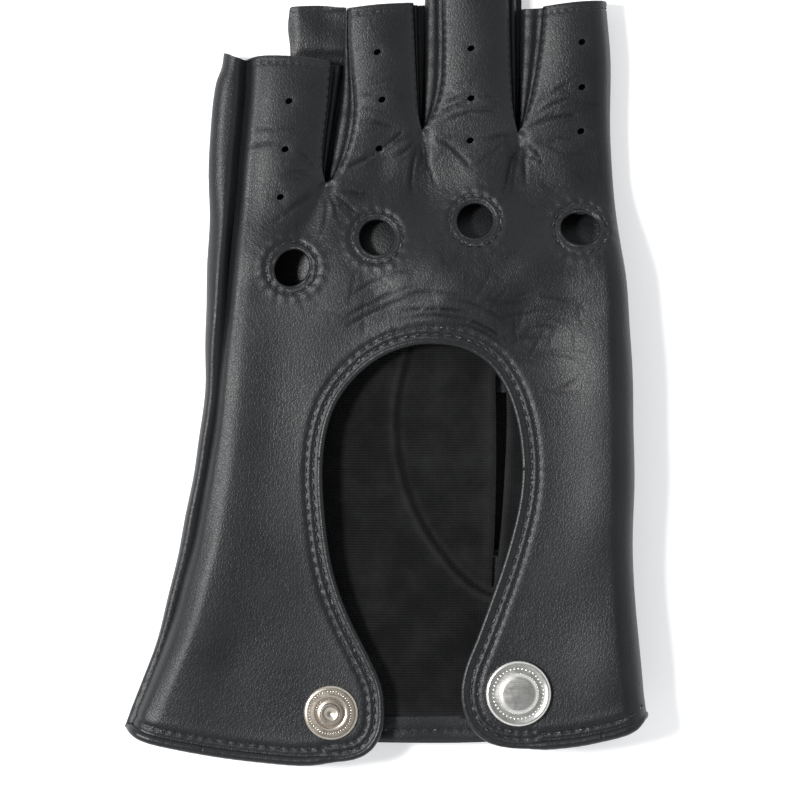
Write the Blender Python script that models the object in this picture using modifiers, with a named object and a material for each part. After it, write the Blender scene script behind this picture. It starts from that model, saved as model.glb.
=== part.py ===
"""Fingerless leather driving glove for the left hand, lying on its palm with the back of the hand up.

Frame: +X towards the index finger, +Y towards the fingertips, +Z up out of the back of the hand.
The origin is on the surface that the glove lies on, under the middle of its outline.
Leather that bends on the real glove is split at its bend lines: fingers, thumb and the two wrist flaps.
"""

import math

import bpy
from mathutils import Matrix, Vector

MM = 0.001

# Overall sizes
GLOVE_LENGTH = 183 * MM  # lowest point of the cuff to the end of the middle finger
CUFF_WIDTH = 120 * MM
PALM_LEFT_X = -41.5 * MM  # little-finger side of the glove, above the flared cuff
THUMB_SIDE_BULGE = 4.0 * MM  # how far the palm stands out past the index finger

# Leather, lining and the gaps between neighbouring pieces
LEATHER = 0.8 * MM
LINING = 0.5 * MM
FACING = 0.5 * MM
GAP = 0.3 * MM
BINDING_RADIUS = 0.75 * MM

# Heights
THUMB_HEIGHT = 6.0 * MM
FINGER_BASE_Z = 2.4 * MM
FINGER_TOP_Z = 9.2 * MM
PALM_TOP_LEFT_Z = 11.2 * MM
PALM_TOP_RIGHT_Z = 16.0 * MM
PALM_RISE_START_X = -30 * MM  # left of this the palm lies flat on the table
PALM_RISE_END_X = 2 * MM  # right of this the palm lies on the thumb
TOP_DROP_START_Y = 20 * MM
TOP_DROP_END_Y = 45 * MM
BASE_DROP_START_Y = 25 * MM
BASE_DROP_END_Y = 45 * MM

# Widths of the fingers at their roots
LITTLE_WIDTH = 28.1 * MM
RING_WIDTH = 21.1 * MM
MIDDLE_WIDTH = 22.2 * MM
INDEX_WIDTH = 21.9 * MM
FORK_CLEARANCE = 0.9 * MM  # between the stalls of two fingers, at the fork
FORK_LITTLE_Y = 45.0 * MM
FORK_RING_Y = 56.6 * MM
FORK_INDEX_Y = 56.0 * MM
INDEX_ROOT_Y = 55.0 * MM

# Ends of the fingers
LITTLE_TIP_Y = 71.4 * MM
RING_TIP_Y = 83.8 * MM
INDEX_TIP_Y = 84.8 * MM
RING_WING_WIDTH = 14.5 * MM  # the ring finger's outer fourchette, spread out flat past the little finger

# Seam on the little-finger side, measured from the outline
SEAM_INSET_FINGER = 6.6 * MM
SEAM_INSET_CUFF = 6.3 * MM
UNDERSIDE_LAP = 3.0 * MM

# Keyhole opening in the back
KEYHOLE_X = 9.0 * MM
KEYHOLE_TOP_Y = 6.8 * MM
KEYHOLE_WIDEST_Y = -18 * MM
KEYHOLE_HALF_WIDTH = 23.2 * MM
SLOT_HALF_WIDTH = 8.9 * MM
SLOT_SHIFT_X = -1.0 * MM
FLAP_CORNER = 8.5 * MM

# Cuff
STUD_CUFF_DROP = 7.0 * MM  # the cuff's outer corner is this much above its lowest point
CAP_CUFF_RAISE = 4.0 * MM  # the cap flap is this much shorter than the stud flap
CAP_CUFF_DROP = 6.5 * MM
PALM_CUFF_RAISE = 5.0 * MM
CUFF_FACING_WIDTH = 6.5 * MM

# Bend lines of the two flaps: where each meets the keyhole, and where it meets the cuff
FOLD_TOP_Y = -20 * MM
STUD_FOLD_CUFF_X = -41 * MM
CAP_FOLD_CUFF_X = 50 * MM
BODY_GAP = 0.5 * MM  # between two leather edges that move against each other

# Perforations and knuckle holes
KNUCKLE_HOLE_RADIUS = 4.5 * MM
KNUCKLE_FACING_WIDTH = 1.5 * MM
PERFORATION_RADIUS = 0.85 * MM

# Thumb
THUMB_X = 26 * MM
THUMB_Y = -24 * MM
THUMB_BASE_RADIUS = 21 * MM
THUMB_HOLE_RADIUS = 18.2 * MM
THUMB_STALL_WIDTH = 27 * MM
THUMB_REACH = 48 * MM  # centre of the thumb hole to the cut end of the stall

# Snap fastener
SNAP_STUD_X = -13.1 * MM
SNAP_STUD_Y = -79.4 * MM
SNAP_CAP_X = 29.9 * MM
SNAP_CAP_Y = -74.8 * MM
CAP_RADIUS = 7.65 * MM
CAP_RAISED_RADIUS = 4.4 * MM
STUD_RADIUS = 6.25 * MM
STUD_POST_RADIUS = 2.45 * MM
STUD_POST_HEIGHT = 2.2 * MM
SOCKET_RADIUS = 6.0 * MM
SNAP_BARREL_RADIUS = 1.5 * MM

# Facets
ROUND_STEPS = 5  # facets in each half-round side
TURNED_STEPS = 28
BINDING_STEP = 2.4 * MM

# Colours: base colour, roughness, metallic
BLACK_LEATHER = ((0.035, 0.036, 0.038), 0.45, 0.0)
BINDING_LEATHER = ((0.02, 0.02, 0.022), 0.35, 0.0)
KNIT_LINING = ((0.012, 0.012, 0.013), 0.9, 0.0)
NICKEL = ((0.78, 0.74, 0.69), 0.22, 1.0)
SPRING_STEEL = ((0.55, 0.55, 0.56), 0.3, 1.0)

CUFF_Y = -GLOVE_LENGTH / 2
MIDDLE_TIP_Y = GLOVE_LENGTH / 2
FORK_LITTLE_X = PALM_LEFT_X + LITTLE_WIDTH
FORK_RING_X = FORK_LITTLE_X + RING_WIDTH
FORK_INDEX_X = FORK_RING_X + MIDDLE_WIDTH
INDEX_RIGHT_X = FORK_INDEX_X + INDEX_WIDTH
PALM_RIGHT_X = INDEX_RIGHT_X + THUMB_SIDE_BULGE
PALM_REST_Z = THUMB_HEIGHT + GAP
OUTSIDE = 90 * MM  # past every edge of the glove, for cutters
TALL = 60 * MM

part_group = None
cutter_group = None


# ---------------------------------------------------------------- shape rules


def smooth(share):
    """0 to 1 with level ends."""
    share = min(max(share, 0.0), 1.0)
    return share * share * (3 - 2 * share)


def between(low, high, value):
    return (value - low) / (high - low)


def mix(first, last, share):
    return first + (last - first) * share


def left_edge(y):
    """Outline on the little-finger side: flared at the cuff, drawn in at the fingertip."""
    flare = max(0.0, between(20 * MM, CUFF_Y + STUD_CUFF_DROP, y))
    taper = max(0.0, between(50 * MM, 74 * MM, y))
    return PALM_LEFT_X - (CUFF_WIDTH / 2 + PALM_LEFT_X) * flare**2 + 3 * MM * taper**2


def right_edge(y):
    """Outline on the index side."""
    bulge = THUMB_SIDE_BULGE * (1 - smooth(between(8 * MM, 48 * MM, y)))
    flare = max(0.0, between(-40 * MM, CUFF_Y + CAP_CUFF_DROP, y))
    taper = max(0.0, between(50 * MM, INDEX_TIP_Y, y))
    return INDEX_RIGHT_X + bulge + (CUFF_WIDTH / 2 - PALM_RIGHT_X) * flare**2 - 1.6 * MM * taper


def seam_x(y):
    """The side seam, on the back of the glove near the little-finger edge."""
    return left_edge(y) + mix(SEAM_INSET_CUFF, SEAM_INSET_FINGER, smooth(between(-45 * MM, 45 * MM, y)))


def top_z(x, y):
    """Outer surface of the back of the glove."""
    palm = mix(PALM_TOP_LEFT_Z, PALM_TOP_RIGHT_Z, between(PALM_LEFT_X, PALM_RIGHT_X, x))
    return mix(palm, FINGER_TOP_Z, smooth(between(TOP_DROP_START_Y, TOP_DROP_END_Y, y)))


def base_z(x, y):
    """Outer surface of the palm: flat on the table at one side, lying on the thumb at the other."""
    palm = PALM_REST_Z * smooth(between(PALM_RISE_START_X, PALM_RISE_END_X, x))
    return mix(palm, FINGER_BASE_Z, smooth(between(BASE_DROP_START_Y, BASE_DROP_END_Y, y)))


def lining_z(x, y):
    return base_z(x, y) + LEATHER + GAP


def hem_y(x):
    """Lower edge of the back at the cuff, past the binding."""
    if x < KEYHOLE_X:
        side = max(0.0, between(-20 * MM, -CUFF_WIDTH / 2, x))
        return CUFF_Y + STUD_CUFF_DROP * side**3
    side = max(0.0, between(30 * MM, CUFF_WIDTH / 2, x))
    return CUFF_Y + CAP_CUFF_RAISE + CAP_CUFF_DROP * side**2.5


def palm_hem_y(x):
    return max(hem_y(x) + 2 * BINDING_RADIUS, CUFF_Y + PALM_CUFF_RAISE)


def side_radius(edge_x, inward, y):
    """Radius of the half-round side. inward is +1 at the left edge and -1 at the right edge."""
    radius = (top_z(edge_x, y) - base_z(edge_x, y)) / 2
    return (top_z(edge_x + inward * radius, y) - base_z(edge_x + inward * radius, y)) / 2


def side_point(edge_x, inward, y, angle):
    """A point on the half-round side: angle 90 degrees at the top, 0 at the edge, -90 at the bottom."""
    radius = side_radius(edge_x, inward, y)
    centre_x = edge_x + inward * radius
    centre_z = (top_z(centre_x, y) + base_z(centre_x, y)) / 2
    return Vector((centre_x - inward * radius * math.cos(angle), y, centre_z + radius * math.sin(angle)))


def keyhole_half_width(y):
    if y > KEYHOLE_WIDEST_Y:
        rise = min(1.0, between(KEYHOLE_WIDEST_Y, KEYHOLE_TOP_Y, y))
        return KEYHOLE_HALF_WIDTH * math.sqrt(1 - rise**2.2)
    down = min(1.0, between(KEYHOLE_WIDEST_Y, CUFF_Y + 11 * MM, y))
    return mix(KEYHOLE_HALF_WIDTH, SLOT_HALF_WIDTH, smooth(down**1.3))


def keyhole_x(y, side):
    shift = SLOT_SHIFT_X * smooth(between(KEYHOLE_WIDEST_Y, CUFF_Y, y))
    return KEYHOLE_X + shift + side * keyhole_half_width(y)


# ---------------------------------------------------------------- outlines


def offset_line(points, distance):
    """The line moved to its left by distance, point by point."""
    moved = []
    for i, point in enumerate(points):
        ahead = points[min(i + 1, len(points) - 1)] - points[max(i - 1, 0)]
        moved.append(point + Vector((-ahead.y, ahead.x)).normalized() * distance)
    return moved


def arch_line(steps=26):
    """Top of the keyhole, from the stud flap's bend line round to the cap flap's."""
    drop = between(KEYHOLE_WIDEST_Y, KEYHOLE_TOP_Y, FOLD_TOP_Y)
    points = []
    for i in range(steps + 1):
        angle = math.pi * (1 - i / steps)
        y = mix(KEYHOLE_WIDEST_Y, KEYHOLE_TOP_Y, mix(drop, 1.0, math.sin(angle)))
        side = -1 if angle > math.pi / 2 else 1
        points.append(Vector((keyhole_x(y, side), y)))
    return points


def flap_line(side, fold_cuff_x, steps=22, corner_steps=6, hem_steps=9):
    """Free edge of a flap, from its bend line down the keyhole, round the corner and along the cuff."""
    corner_x = keyhole_x(CUFF_Y, side) + side * FLAP_CORNER
    corner_y = hem_y(corner_x) + FLAP_CORNER
    points = []
    for i in range(steps):
        y = mix(FOLD_TOP_Y - BODY_GAP, corner_y, i / steps)
        points.append(Vector((keyhole_x(y, side), y)))
    for i in range(corner_steps):
        angle = math.pi / 2 * i / corner_steps
        x = corner_x - side * FLAP_CORNER * math.cos(angle)
        points.append(Vector((x, corner_y - FLAP_CORNER * math.sin(angle))))
    for i in range(hem_steps + 1):
        x = mix(corner_x, fold_cuff_x, i / hem_steps)
        points.append(Vector((x, hem_y(x))))
    return points


def cuff_line(fold_cuff_x, edge_x, steps=7):
    """Cuff edge from a flap's bend line out to the side of the glove."""
    xs = [mix(fold_cuff_x, edge_x, i / steps) for i in range(steps + 1)]
    return [Vector((x, hem_y(x))) for x in xs]


STUD_EDGE = flap_line(-1, STUD_FOLD_CUFF_X)
CAP_EDGE = flap_line(1, CAP_FOLD_CUFF_X)
ARCH = arch_line()
EDGE_INSET = 2 * BINDING_RADIUS + GAP  # from the free edge to the leather, past the binding


# ---------------------------------------------------------------- modelling tools


def clear_scene():
    global part_group, cutter_group
    for item in list(bpy.data.objects):
        bpy.data.objects.remove(item, do_unlink=True)
    part_group = bpy.data.collections.new("driving_glove")
    cutter_group = bpy.data.collections.new("cutters")
    for group in (part_group, cutter_group):
        bpy.context.scene.collection.children.link(group)
    cutter_group.hide_render = True


def move_to(item, group):
    for old in list(item.users_collection):
        old.objects.unlink(item)
    group.objects.link(item)


def finish(item, name, look):
    item.name = name
    item.data.name = name
    move_to(item, part_group)
    colour, roughness, metallic = look
    material = bpy.data.materials.new(name)
    material.use_nodes = True
    shader = material.node_tree.nodes["Principled BSDF"]
    shader.inputs["Base Color"].default_value = (*colour, 1.0)
    shader.inputs["Roughness"].default_value = roughness
    shader.inputs["Metallic"].default_value = metallic
    item.data.materials.clear()
    item.data.materials.append(material)
    return item


def as_cutter(item):
    move_to(item, cutter_group)
    item.hide_render = True
    item.display_type = "WIRE"
    return item


def baked(item):
    """The object with its modifiers applied, as a plain mesh."""
    bpy.context.view_layer.update()
    mesh = bpy.data.meshes.new_from_object(item.evaluated_get(bpy.context.evaluated_depsgraph_get()))
    made = bpy.data.objects.new(item.name, mesh)
    made.matrix_world = item.matrix_world
    bpy.context.scene.collection.objects.link(made)
    bpy.data.objects.remove(item, do_unlink=True)
    weld = made.modifiers.new("weld", "WELD")
    weld.merge_threshold = 1e-6
    return made


def boolean(item, operation, other):
    step = item.modifiers.new(operation.lower(), "BOOLEAN")
    step.operation = operation
    step.object = other
    step.solver = "EXACT"
    return item


def prism(points, low=-TALL, high=TALL):
    """A closed outline, standing as an upright cutter."""
    data = bpy.data.curves.new("prism", "CURVE")
    data.dimensions = "2D"
    data.fill_mode = "BOTH"
    data.extrude = (high - low) / 2
    line = data.splines.new("POLY")
    line.points.add(len(points) - 1)
    for vertex, point in zip(line.points, points):
        vertex.co = (point[0], point[1], 0, 1)
    line.use_cyclic_u = True
    item = bpy.data.objects.new("prism", data)
    bpy.context.scene.collection.objects.link(item)
    item.location.z = (high + low) / 2
    return as_cutter(baked(item))


def round_cutter(x, y, radius, steps=24):
    bpy.ops.mesh.primitive_cylinder_add(vertices=steps, radius=radius, depth=2 * TALL, location=(x, y, 0))
    return as_cutter(bpy.context.active_object)


def grid_sheet(columns, rows, place, thickness, inward):
    """A grid of columns by rows, each point placed by place(column, row), made thickness thick.

    inward is the side that the thickness goes to: +1 along the grid's normals, -1 against them.
    """
    bpy.ops.mesh.primitive_grid_add(x_subdivisions=columns - 1, y_subdivisions=rows - 1, size=1)
    item = bpy.context.active_object
    for vertex in item.data.vertices:
        column = round((vertex.co.x + 0.5) * (columns - 1))
        row = round((vertex.co.y + 0.5) * (rows - 1))
        vertex.co = place(column, row)
    split = item.modifiers.new("split", "TRIANGULATE")
    split.quad_method = "FIXED"
    wall = item.modifiers.new("wall", "SOLIDIFY")
    wall.thickness = thickness
    wall.offset = inward
    wall.use_even_offset = True
    return item


def lines_across():
    """Grid lines along X: close together only where the palm rises."""
    rise = [mix(PALM_RISE_START_X, PALM_RISE_END_X, i / 6) for i in range(7)]
    right = [mix(PALM_RISE_END_X, INDEX_RIGHT_X - 8 * MM, i / 3) for i in range(1, 4)]
    return rise + right


def lines_along():
    """Grid lines along Y: close together only where the back drops to the fingers."""
    cuff = [CUFF_Y - 5 * MM, -60 * MM, -30 * MM, 0.0]
    drop = [mix(TOP_DROP_START_Y, TOP_DROP_END_Y, i / 8) for i in range(9)]
    return cuff + drop + [60 * MM, 72 * MM, MIDDLE_TIP_Y + 5 * MM]


def patch(outline, height, thickness, inward, holes=()):
    """A flat-cut piece of sheet: the surface z = height(x, y) inside an outline, less some holes."""
    xs, ys = [-OUTSIDE] + lines_across() + [OUTSIDE], lines_along()
    low_x, high_x = min(p[0] for p in outline), max(p[0] for p in outline)
    low_y, high_y = min(p[1] for p in outline), max(p[1] for p in outline)
    first, last = max(x for x in xs if x < low_x), min(x for x in xs if x > high_x)
    lowest, highest = max(y for y in ys if y < low_y), min(y for y in ys if y > high_y)
    xs = [x for x in xs if first <= x <= last]
    ys = [y for y in ys if lowest <= y <= highest]
    item = grid_sheet(
        len(xs), len(ys), lambda i, j: (xs[i], ys[j], height(xs[i], ys[j])), thickness, inward
    )
    boolean(item, "INTERSECT", prism(outline))
    for hole in holes:
        boolean(item, "DIFFERENCE", hole)
    return item


def tube(points, radius):
    """A round cord along points in space."""
    data = bpy.data.curves.new("tube", "CURVE")
    data.dimensions = "3D"
    data.bevel_depth = radius
    data.bevel_resolution = 1
    data.use_fill_caps = True
    line = data.splines.new("POLY")
    line.points.add(len(points) - 1)
    for vertex, point in zip(line.points, points):
        vertex.co = (*point, 1)
    item = bpy.data.objects.new("tube", data)
    bpy.context.scene.collection.objects.link(item)
    return baked(item)


def turned(profile, x, y, z):
    """A turned piece: profile is (radius, height) pairs, top to bottom down its outer side."""
    mesh = bpy.data.meshes.new("turned")
    mesh.from_pydata([(r, 0, h) for r, h in profile], [(i, i + 1) for i in range(len(profile) - 1)], [])
    item = bpy.data.objects.new("turned", mesh)
    bpy.context.scene.collection.objects.link(item)
    screw = item.modifiers.new("turn", "SCREW")
    screw.steps = TURNED_STEPS
    screw.render_steps = TURNED_STEPS
    screw.use_merge_vertices = True
    screw.merge_threshold = 1e-6
    item.location = (x, y, z)
    return item


def evenly(points, step, trim=0.0):
    """The same line less trim at both ends, with points about a step apart."""
    lengths = [0.0]
    for first, last in zip(points, points[1:]):
        lengths.append(lengths[-1] + (last - first).length)
    count = max(2, round((lengths[-1] - 2 * trim) / step))
    made, k = [], 0
    for i in range(count + 1):
        target = mix(trim, lengths[-1] - trim, i / count)
        while k < len(points) - 2 and lengths[k + 1] < target:
            k += 1
        share = (target - lengths[k]) / max(lengths[k + 1] - lengths[k], 1e-9)
        made.append(points[k].lerp(points[k + 1], share))
    return made


# ---------------------------------------------------------------- fingers


class Finger:
    """One finger stall: where its root and tip are, seen from above."""

    def __init__(self, name, root, tip, palm_tip, column_x, first_hole_y, pitch, open_side=0):
        self.name = name
        self.open_side = open_side  # -1 or +1 for the side on which this is the outermost finger
        self.root = root  # the bend line, left end and right end
        self.tip = tip  # cut end of the back strip, left and right corners
        self.palm_tip = palm_tip  # the same corners on the palm strip, which is wider
        self.column_x = column_x  # perforations and the knuckle hole stand in this column
        self.first_hole_y = first_hole_y
        self.pitch = pitch

    def edge(self, side, share, palm=False):
        """A point on the left (0) or right (1) edge of a strip, share of the way to the tip."""
        start = self.root[side]
        end = self.palm_tip[side] if palm else self.tip[side]
        inward = BODY_GAP if not palm else BODY_GAP * (1 - share)
        shift = inward if side == 0 else -inward
        return Vector((mix(start.x, end.x, share) + shift, mix(start.y, end.y, share)))

    def root_normal(self):
        along = (self.root[1] - self.root[0]).normalized()
        return Vector((-along.y, along.x))

    def outline(self, palm=False):
        """Outline of a back or palm strip, a body gap clear of the hand.

        An open side takes in its curled edge.
        """
        clear = self.root_normal() * BODY_GAP
        left = [self.edge(0, share, palm) for share in (0.0, 0.5, 1.0)]
        right = [self.edge(1, share, palm) for share in (1.0, 0.5, 0.0)]
        left[0] += clear
        right[-1] += clear
        for line, x in ((left, -OUTSIDE), (right, OUTSIDE)):
            if self.open_side * x > 0:
                for point in line:
                    point.x = x
        return left + right

    def holes(self):
        return [self.first_hole_y - i * self.pitch for i in range(3)]

    def in_stall(self, y):
        share = between(self.root[0].x, self.root[1].x, self.column_x)
        return y > mix(self.root[0].y, self.root[1].y, share) + BODY_GAP + PERFORATION_RADIUS


def level(left, right, y):
    """The left and right end of a line straight across the glove."""
    return Vector((left, y)), Vector((right, y))


def fingers():
    """The four stalls, each strip's corners measured from the forks beside it."""
    beside = FORK_CLEARANCE / 2
    little = Finger(
        "little",
        level(seam_x(FORK_LITTLE_Y), FORK_LITTLE_X - beside, FORK_LITTLE_Y),
        level(seam_x(LITTLE_TIP_Y), FORK_LITTLE_X - 0.2 * MM, LITTLE_TIP_Y),
        level(seam_x(LITTLE_TIP_Y), FORK_LITTLE_X + 1.2 * MM, LITTLE_TIP_Y),
        FORK_LITTLE_X - 10.2 * MM,
        62.7 * MM,
        11.1 * MM,
        -1,
    )
    ring = Finger(
        "ring",
        level(FORK_LITTLE_X + beside, FORK_RING_X - beside, FORK_RING_Y),
        level(FORK_LITTLE_X + 5.8 * MM, FORK_RING_X - 2.2 * MM, RING_TIP_Y),
        level(FORK_LITTLE_X + 5.0 * MM, FORK_RING_X - 0.9 * MM, RING_TIP_Y),
        FORK_LITTLE_X + 11.3 * MM,
        73.8 * MM,
        11.0 * MM,
    )
    middle = Finger(
        "middle",
        (Vector((FORK_RING_X + beside, FORK_RING_Y)), Vector((FORK_INDEX_X - beside, FORK_INDEX_Y))),
        level(FORK_RING_X + 5.2 * MM, FORK_INDEX_X - 2.2 * MM, MIDDLE_TIP_Y),
        level(FORK_RING_X + 1.6 * MM, FORK_INDEX_X - 0.2 * MM, MIDDLE_TIP_Y),
        FORK_RING_X + 11.3 * MM,
        74.6 * MM,
        10.7 * MM,
    )
    index = Finger(
        "index",
        (Vector((FORK_INDEX_X + beside, FORK_INDEX_Y)), Vector((INDEX_RIGHT_X, INDEX_ROOT_Y))),
        level(FORK_INDEX_X + 6.4 * MM, INDEX_RIGHT_X, INDEX_TIP_Y),
        level(FORK_INDEX_X + 2.2 * MM, INDEX_RIGHT_X, INDEX_TIP_Y),
        FORK_INDEX_X + 14.6 * MM,
        76.2 * MM,
        10.3 * MM,
        1,
    )
    return {finger.name: finger for finger in (little, ring, middle, index)}


FINGERS = fingers()
KNUCKLE_HOLES = {
    "little": (FINGERS["little"].column_x + 1.4 * MM, 24.3 * MM),
    "ring": (FINGERS["ring"].column_x - 0.4 * MM, 31.2 * MM),
    "middle": (FINGERS["middle"].column_x + 0.9 * MM, 35.1 * MM),
    "index": (FINGERS["index"].column_x - 1.2 * MM, 33.0 * MM),
}


def perforations(finger, in_stall):
    ys = [y for y in finger.holes() if finger.in_stall(y) == in_stall]
    return [round_cutter(finger.column_x, y, PERFORATION_RADIUS, 8) for y in ys]


def half_turn(steps=ROUND_STEPS):
    return [math.pi / 2 - math.pi * i / steps for i in range(steps + 1)]


def back_section(y):
    """Back of the glove at y: from the side seam over the top, round the index side to the underside."""
    edge = right_edge(y)
    last = edge - side_radius(edge, -1, y)
    points = [Vector((x, y, top_z(x, y))) for x in [seam_x(y) + GAP / 2] + lines_across()]
    points += [side_point(edge, -1, y, angle) for angle in half_turn()]
    return points + [Vector((last - UNDERSIDE_LAP, y, base_z(last - UNDERSIDE_LAP, y)))]


def palm_section(y):
    """Palm at y: from the underside seam to the little-finger side, round it and over to the side seam."""
    right = right_edge(y)
    last = right - side_radius(right, -1, y) - UNDERSIDE_LAP - GAP
    points = [Vector((x, y, base_z(x, y))) for x in [last] + lines_across()[-2::-1]]
    edge = left_edge(y)
    points += [side_point(edge, 1, y, -angle) for angle in half_turn()]
    top_x = edge + side_radius(edge, 1, y)
    seam = max(seam_x(y) - GAP / 2, top_x + 0.2 * MM)
    return points + [Vector((seam, y, top_z(seam, y)))]


def section_sheet(section):
    """A sheet through the same section at each grid line along Y."""
    rows = [section(y) for y in lines_along()]
    return grid_sheet(len(rows[0]), len(rows), lambda i, j: rows[j][i], LEATHER, -1)


def cut_to(item, outline, holes=()):
    boolean(item, "INTERSECT", prism(outline))
    for hole in holes:
        boolean(item, "DIFFERENCE", hole)
    return item


# ---------------------------------------------------------------- hand


def root_line():
    """The far edge of the hand's panels: in steps from finger root to finger root."""
    points = [Vector((OUTSIDE, INDEX_ROOT_Y))]
    stalls = list(FINGERS.values())
    for finger, neighbour in zip(stalls[:0:-1], stalls[-2::-1]):
        points += [finger.root[1], finger.root[0], Vector((finger.root[0].x, neighbour.root[1].y))]
    return points + [stalls[0].root[1], Vector((-OUTSIDE, FORK_LITTLE_Y))]


def lifted(points, rise):
    return [p + Vector((0, rise)) for p in points]


def back_outline():
    """Back of the hand: all of the back less the keyhole and the two flaps."""
    arch = offset_line(ARCH, EDGE_INSET)
    stud_side = lifted(cuff_line(-OUTSIDE, STUD_FOLD_CUFF_X - BODY_GAP), EDGE_INSET)
    cap_side = lifted(cuff_line(CAP_FOLD_CUFF_X + BODY_GAP, OUTSIDE), EDGE_INSET)
    corners = arch[0] - Vector((BODY_GAP, 0)), arch[-1] + Vector((BODY_GAP, 0))
    return stud_side + [corners[0]] + arch + [corners[1]] + cap_side + root_line()


def palm_outline():
    """Palm of the hand, from the hem at the cuff to the finger roots."""
    xs = [mix(-OUTSIDE, OUTSIDE, i / 24) for i in range(25)]
    return [Vector((x, palm_hem_y(x))) for x in xs] + root_line()


def build_hand():
    thumb_hole = round_cutter(THUMB_X, THUMB_Y, THUMB_HOLE_RADIUS, 32)
    knuckle_cutters = [round_cutter(x, y, KNUCKLE_HOLE_RADIUS) for x, y in KNUCKLE_HOLES.values()]
    back_holes = [hole for finger in FINGERS.values() for hole in perforations(finger, False)]
    back = cut_to(section_sheet(back_section), back_outline(), knuckle_cutters + back_holes)
    finish(back, "back_panel", BLACK_LEATHER)
    palm = cut_to(section_sheet(palm_section), palm_outline(), [thumb_hole])
    finish(palm, "palm_panel", BLACK_LEATHER)

    left, right = PALM_RISE_START_X - 2 * MM, INDEX_RIGHT_X - 9 * MM
    xs = [mix(left, right, i / 16) for i in range(17)]
    low = [Vector((x, palm_hem_y(x) + CUFF_FACING_WIDTH + GAP)) for x in xs]
    high = [Vector((right, FORK_LITTLE_Y - MM)), Vector((left, FORK_LITTLE_Y - MM))]
    lining = patch(low + high, lining_z, LINING, 1, [thumb_hole])
    finish(lining, "palm_lining", KNIT_LINING)
    facing = patch(
        [Vector((x, palm_hem_y(x) + 0.5 * MM)) for x in xs]
        + [Vector((x, palm_hem_y(x) + CUFF_FACING_WIDTH)) for x in reversed(xs)],
        lining_z, FACING, 1,
    )
    finish(facing, "palm_hem_facing", BLACK_LEATHER)

    for name, (x, y) in KNUCKLE_HOLES.items():
        outer = KNUCKLE_HOLE_RADIUS + KNUCKLE_FACING_WIDTH
        ring = [
            Vector((x + outer * math.cos(math.tau * i / 24), y + outer * math.sin(math.tau * i / 24)))
            for i in range(24)
        ]
        bore = round_cutter(x, y, KNUCKLE_HOLE_RADIUS - 0.4 * MM)
        finish(patch(ring, under_back_z, FACING, -1, [bore]), "knuckle_facing_" + name, BLACK_LEATHER)

    bind("keyhole_binding", offset_line(ARCH, BINDING_RADIUS))
    inner = side_radius(left_edge(CUFF_Y), 1, CUFF_Y) - CUFF_WIDTH / 2
    bind("hem_binding_stud_side", lifted(cuff_line(STUD_FOLD_CUFF_X, inner), BINDING_RADIUS))
    bind("hem_binding_cap_side", lifted(cuff_line(CAP_FOLD_CUFF_X, CUFF_WIDTH / 2 - 4 * MM), BINDING_RADIUS))


def under_back_z(x, y):
    return top_z(x, y) - LEATHER - GAP


def bind(name, edge):
    """A rolled binding along an edge of the back, centred in the leather's thickness."""
    points = evenly([Vector((p.x, p.y, 0)) for p in edge], BINDING_STEP, 0.8 * MM)
    points = [Vector((p.x, p.y, top_z(p.x, p.y) - LEATHER / 2)) for p in points]
    return finish(tube(points, BINDING_RADIUS), name, BINDING_LEATHER)


# ---------------------------------------------------------------- flaps and snap fastener


BACK_TILT = -math.atan((PALM_TOP_RIGHT_Z - PALM_TOP_LEFT_Z) / (PALM_RIGHT_X - PALM_LEFT_X))


def hinge(name, origin):
    """An empty on a joint's axis, that the moving pieces are parented to."""
    empty = bpy.data.objects.new(name, None)
    empty.location = origin
    part_group.objects.link(empty)
    return empty


def hang_on(empty, items):
    bpy.context.view_layer.update()
    for item in items:
        item.parent = empty
        item.matrix_parent_inverse = empty.matrix_world.inverted()


def fold_ends(edge, side):
    """The two ends of a flap's bend line, on the outer surface of the back."""
    inset = offset_line(edge, side * EDGE_INSET)
    shift = side * BODY_GAP / 2
    ends = Vector((inset[0].x + shift, FOLD_TOP_Y)), Vector((edge[-1].x + shift, inset[-1].y))
    return [Vector((p.x, p.y, top_z(p.x, p.y))) for p in ends]


def build_flap(name, edge, side, snap_x, snap_y):
    bore = round_cutter(snap_x, snap_y, SNAP_BARREL_RADIUS + GAP, 20)
    leather = patch(offset_line(edge, side * EDGE_INSET), top_z, LEATHER, -1, [bore])
    finish(leather, name + "_leather", BLACK_LEATHER)
    inner = offset_line(edge, side * (EDGE_INSET + MM))
    lining = patch(inner, under_back_z, FACING, -1, [bore])
    finish(lining, name + "_lining", BLACK_LEATHER)
    binding = bind(name + "_binding", offset_line(edge, side * BINDING_RADIUS))
    return [leather, lining, binding]


def snap_piece(name, profile, x, y, look=NICKEL):
    """A turned piece of the snap, its heights measured from the outer surface of the flap."""
    item = turned(profile, x, y, top_z(x, y))
    item.rotation_euler.y = BACK_TILT
    return finish(item, name, look)


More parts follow.
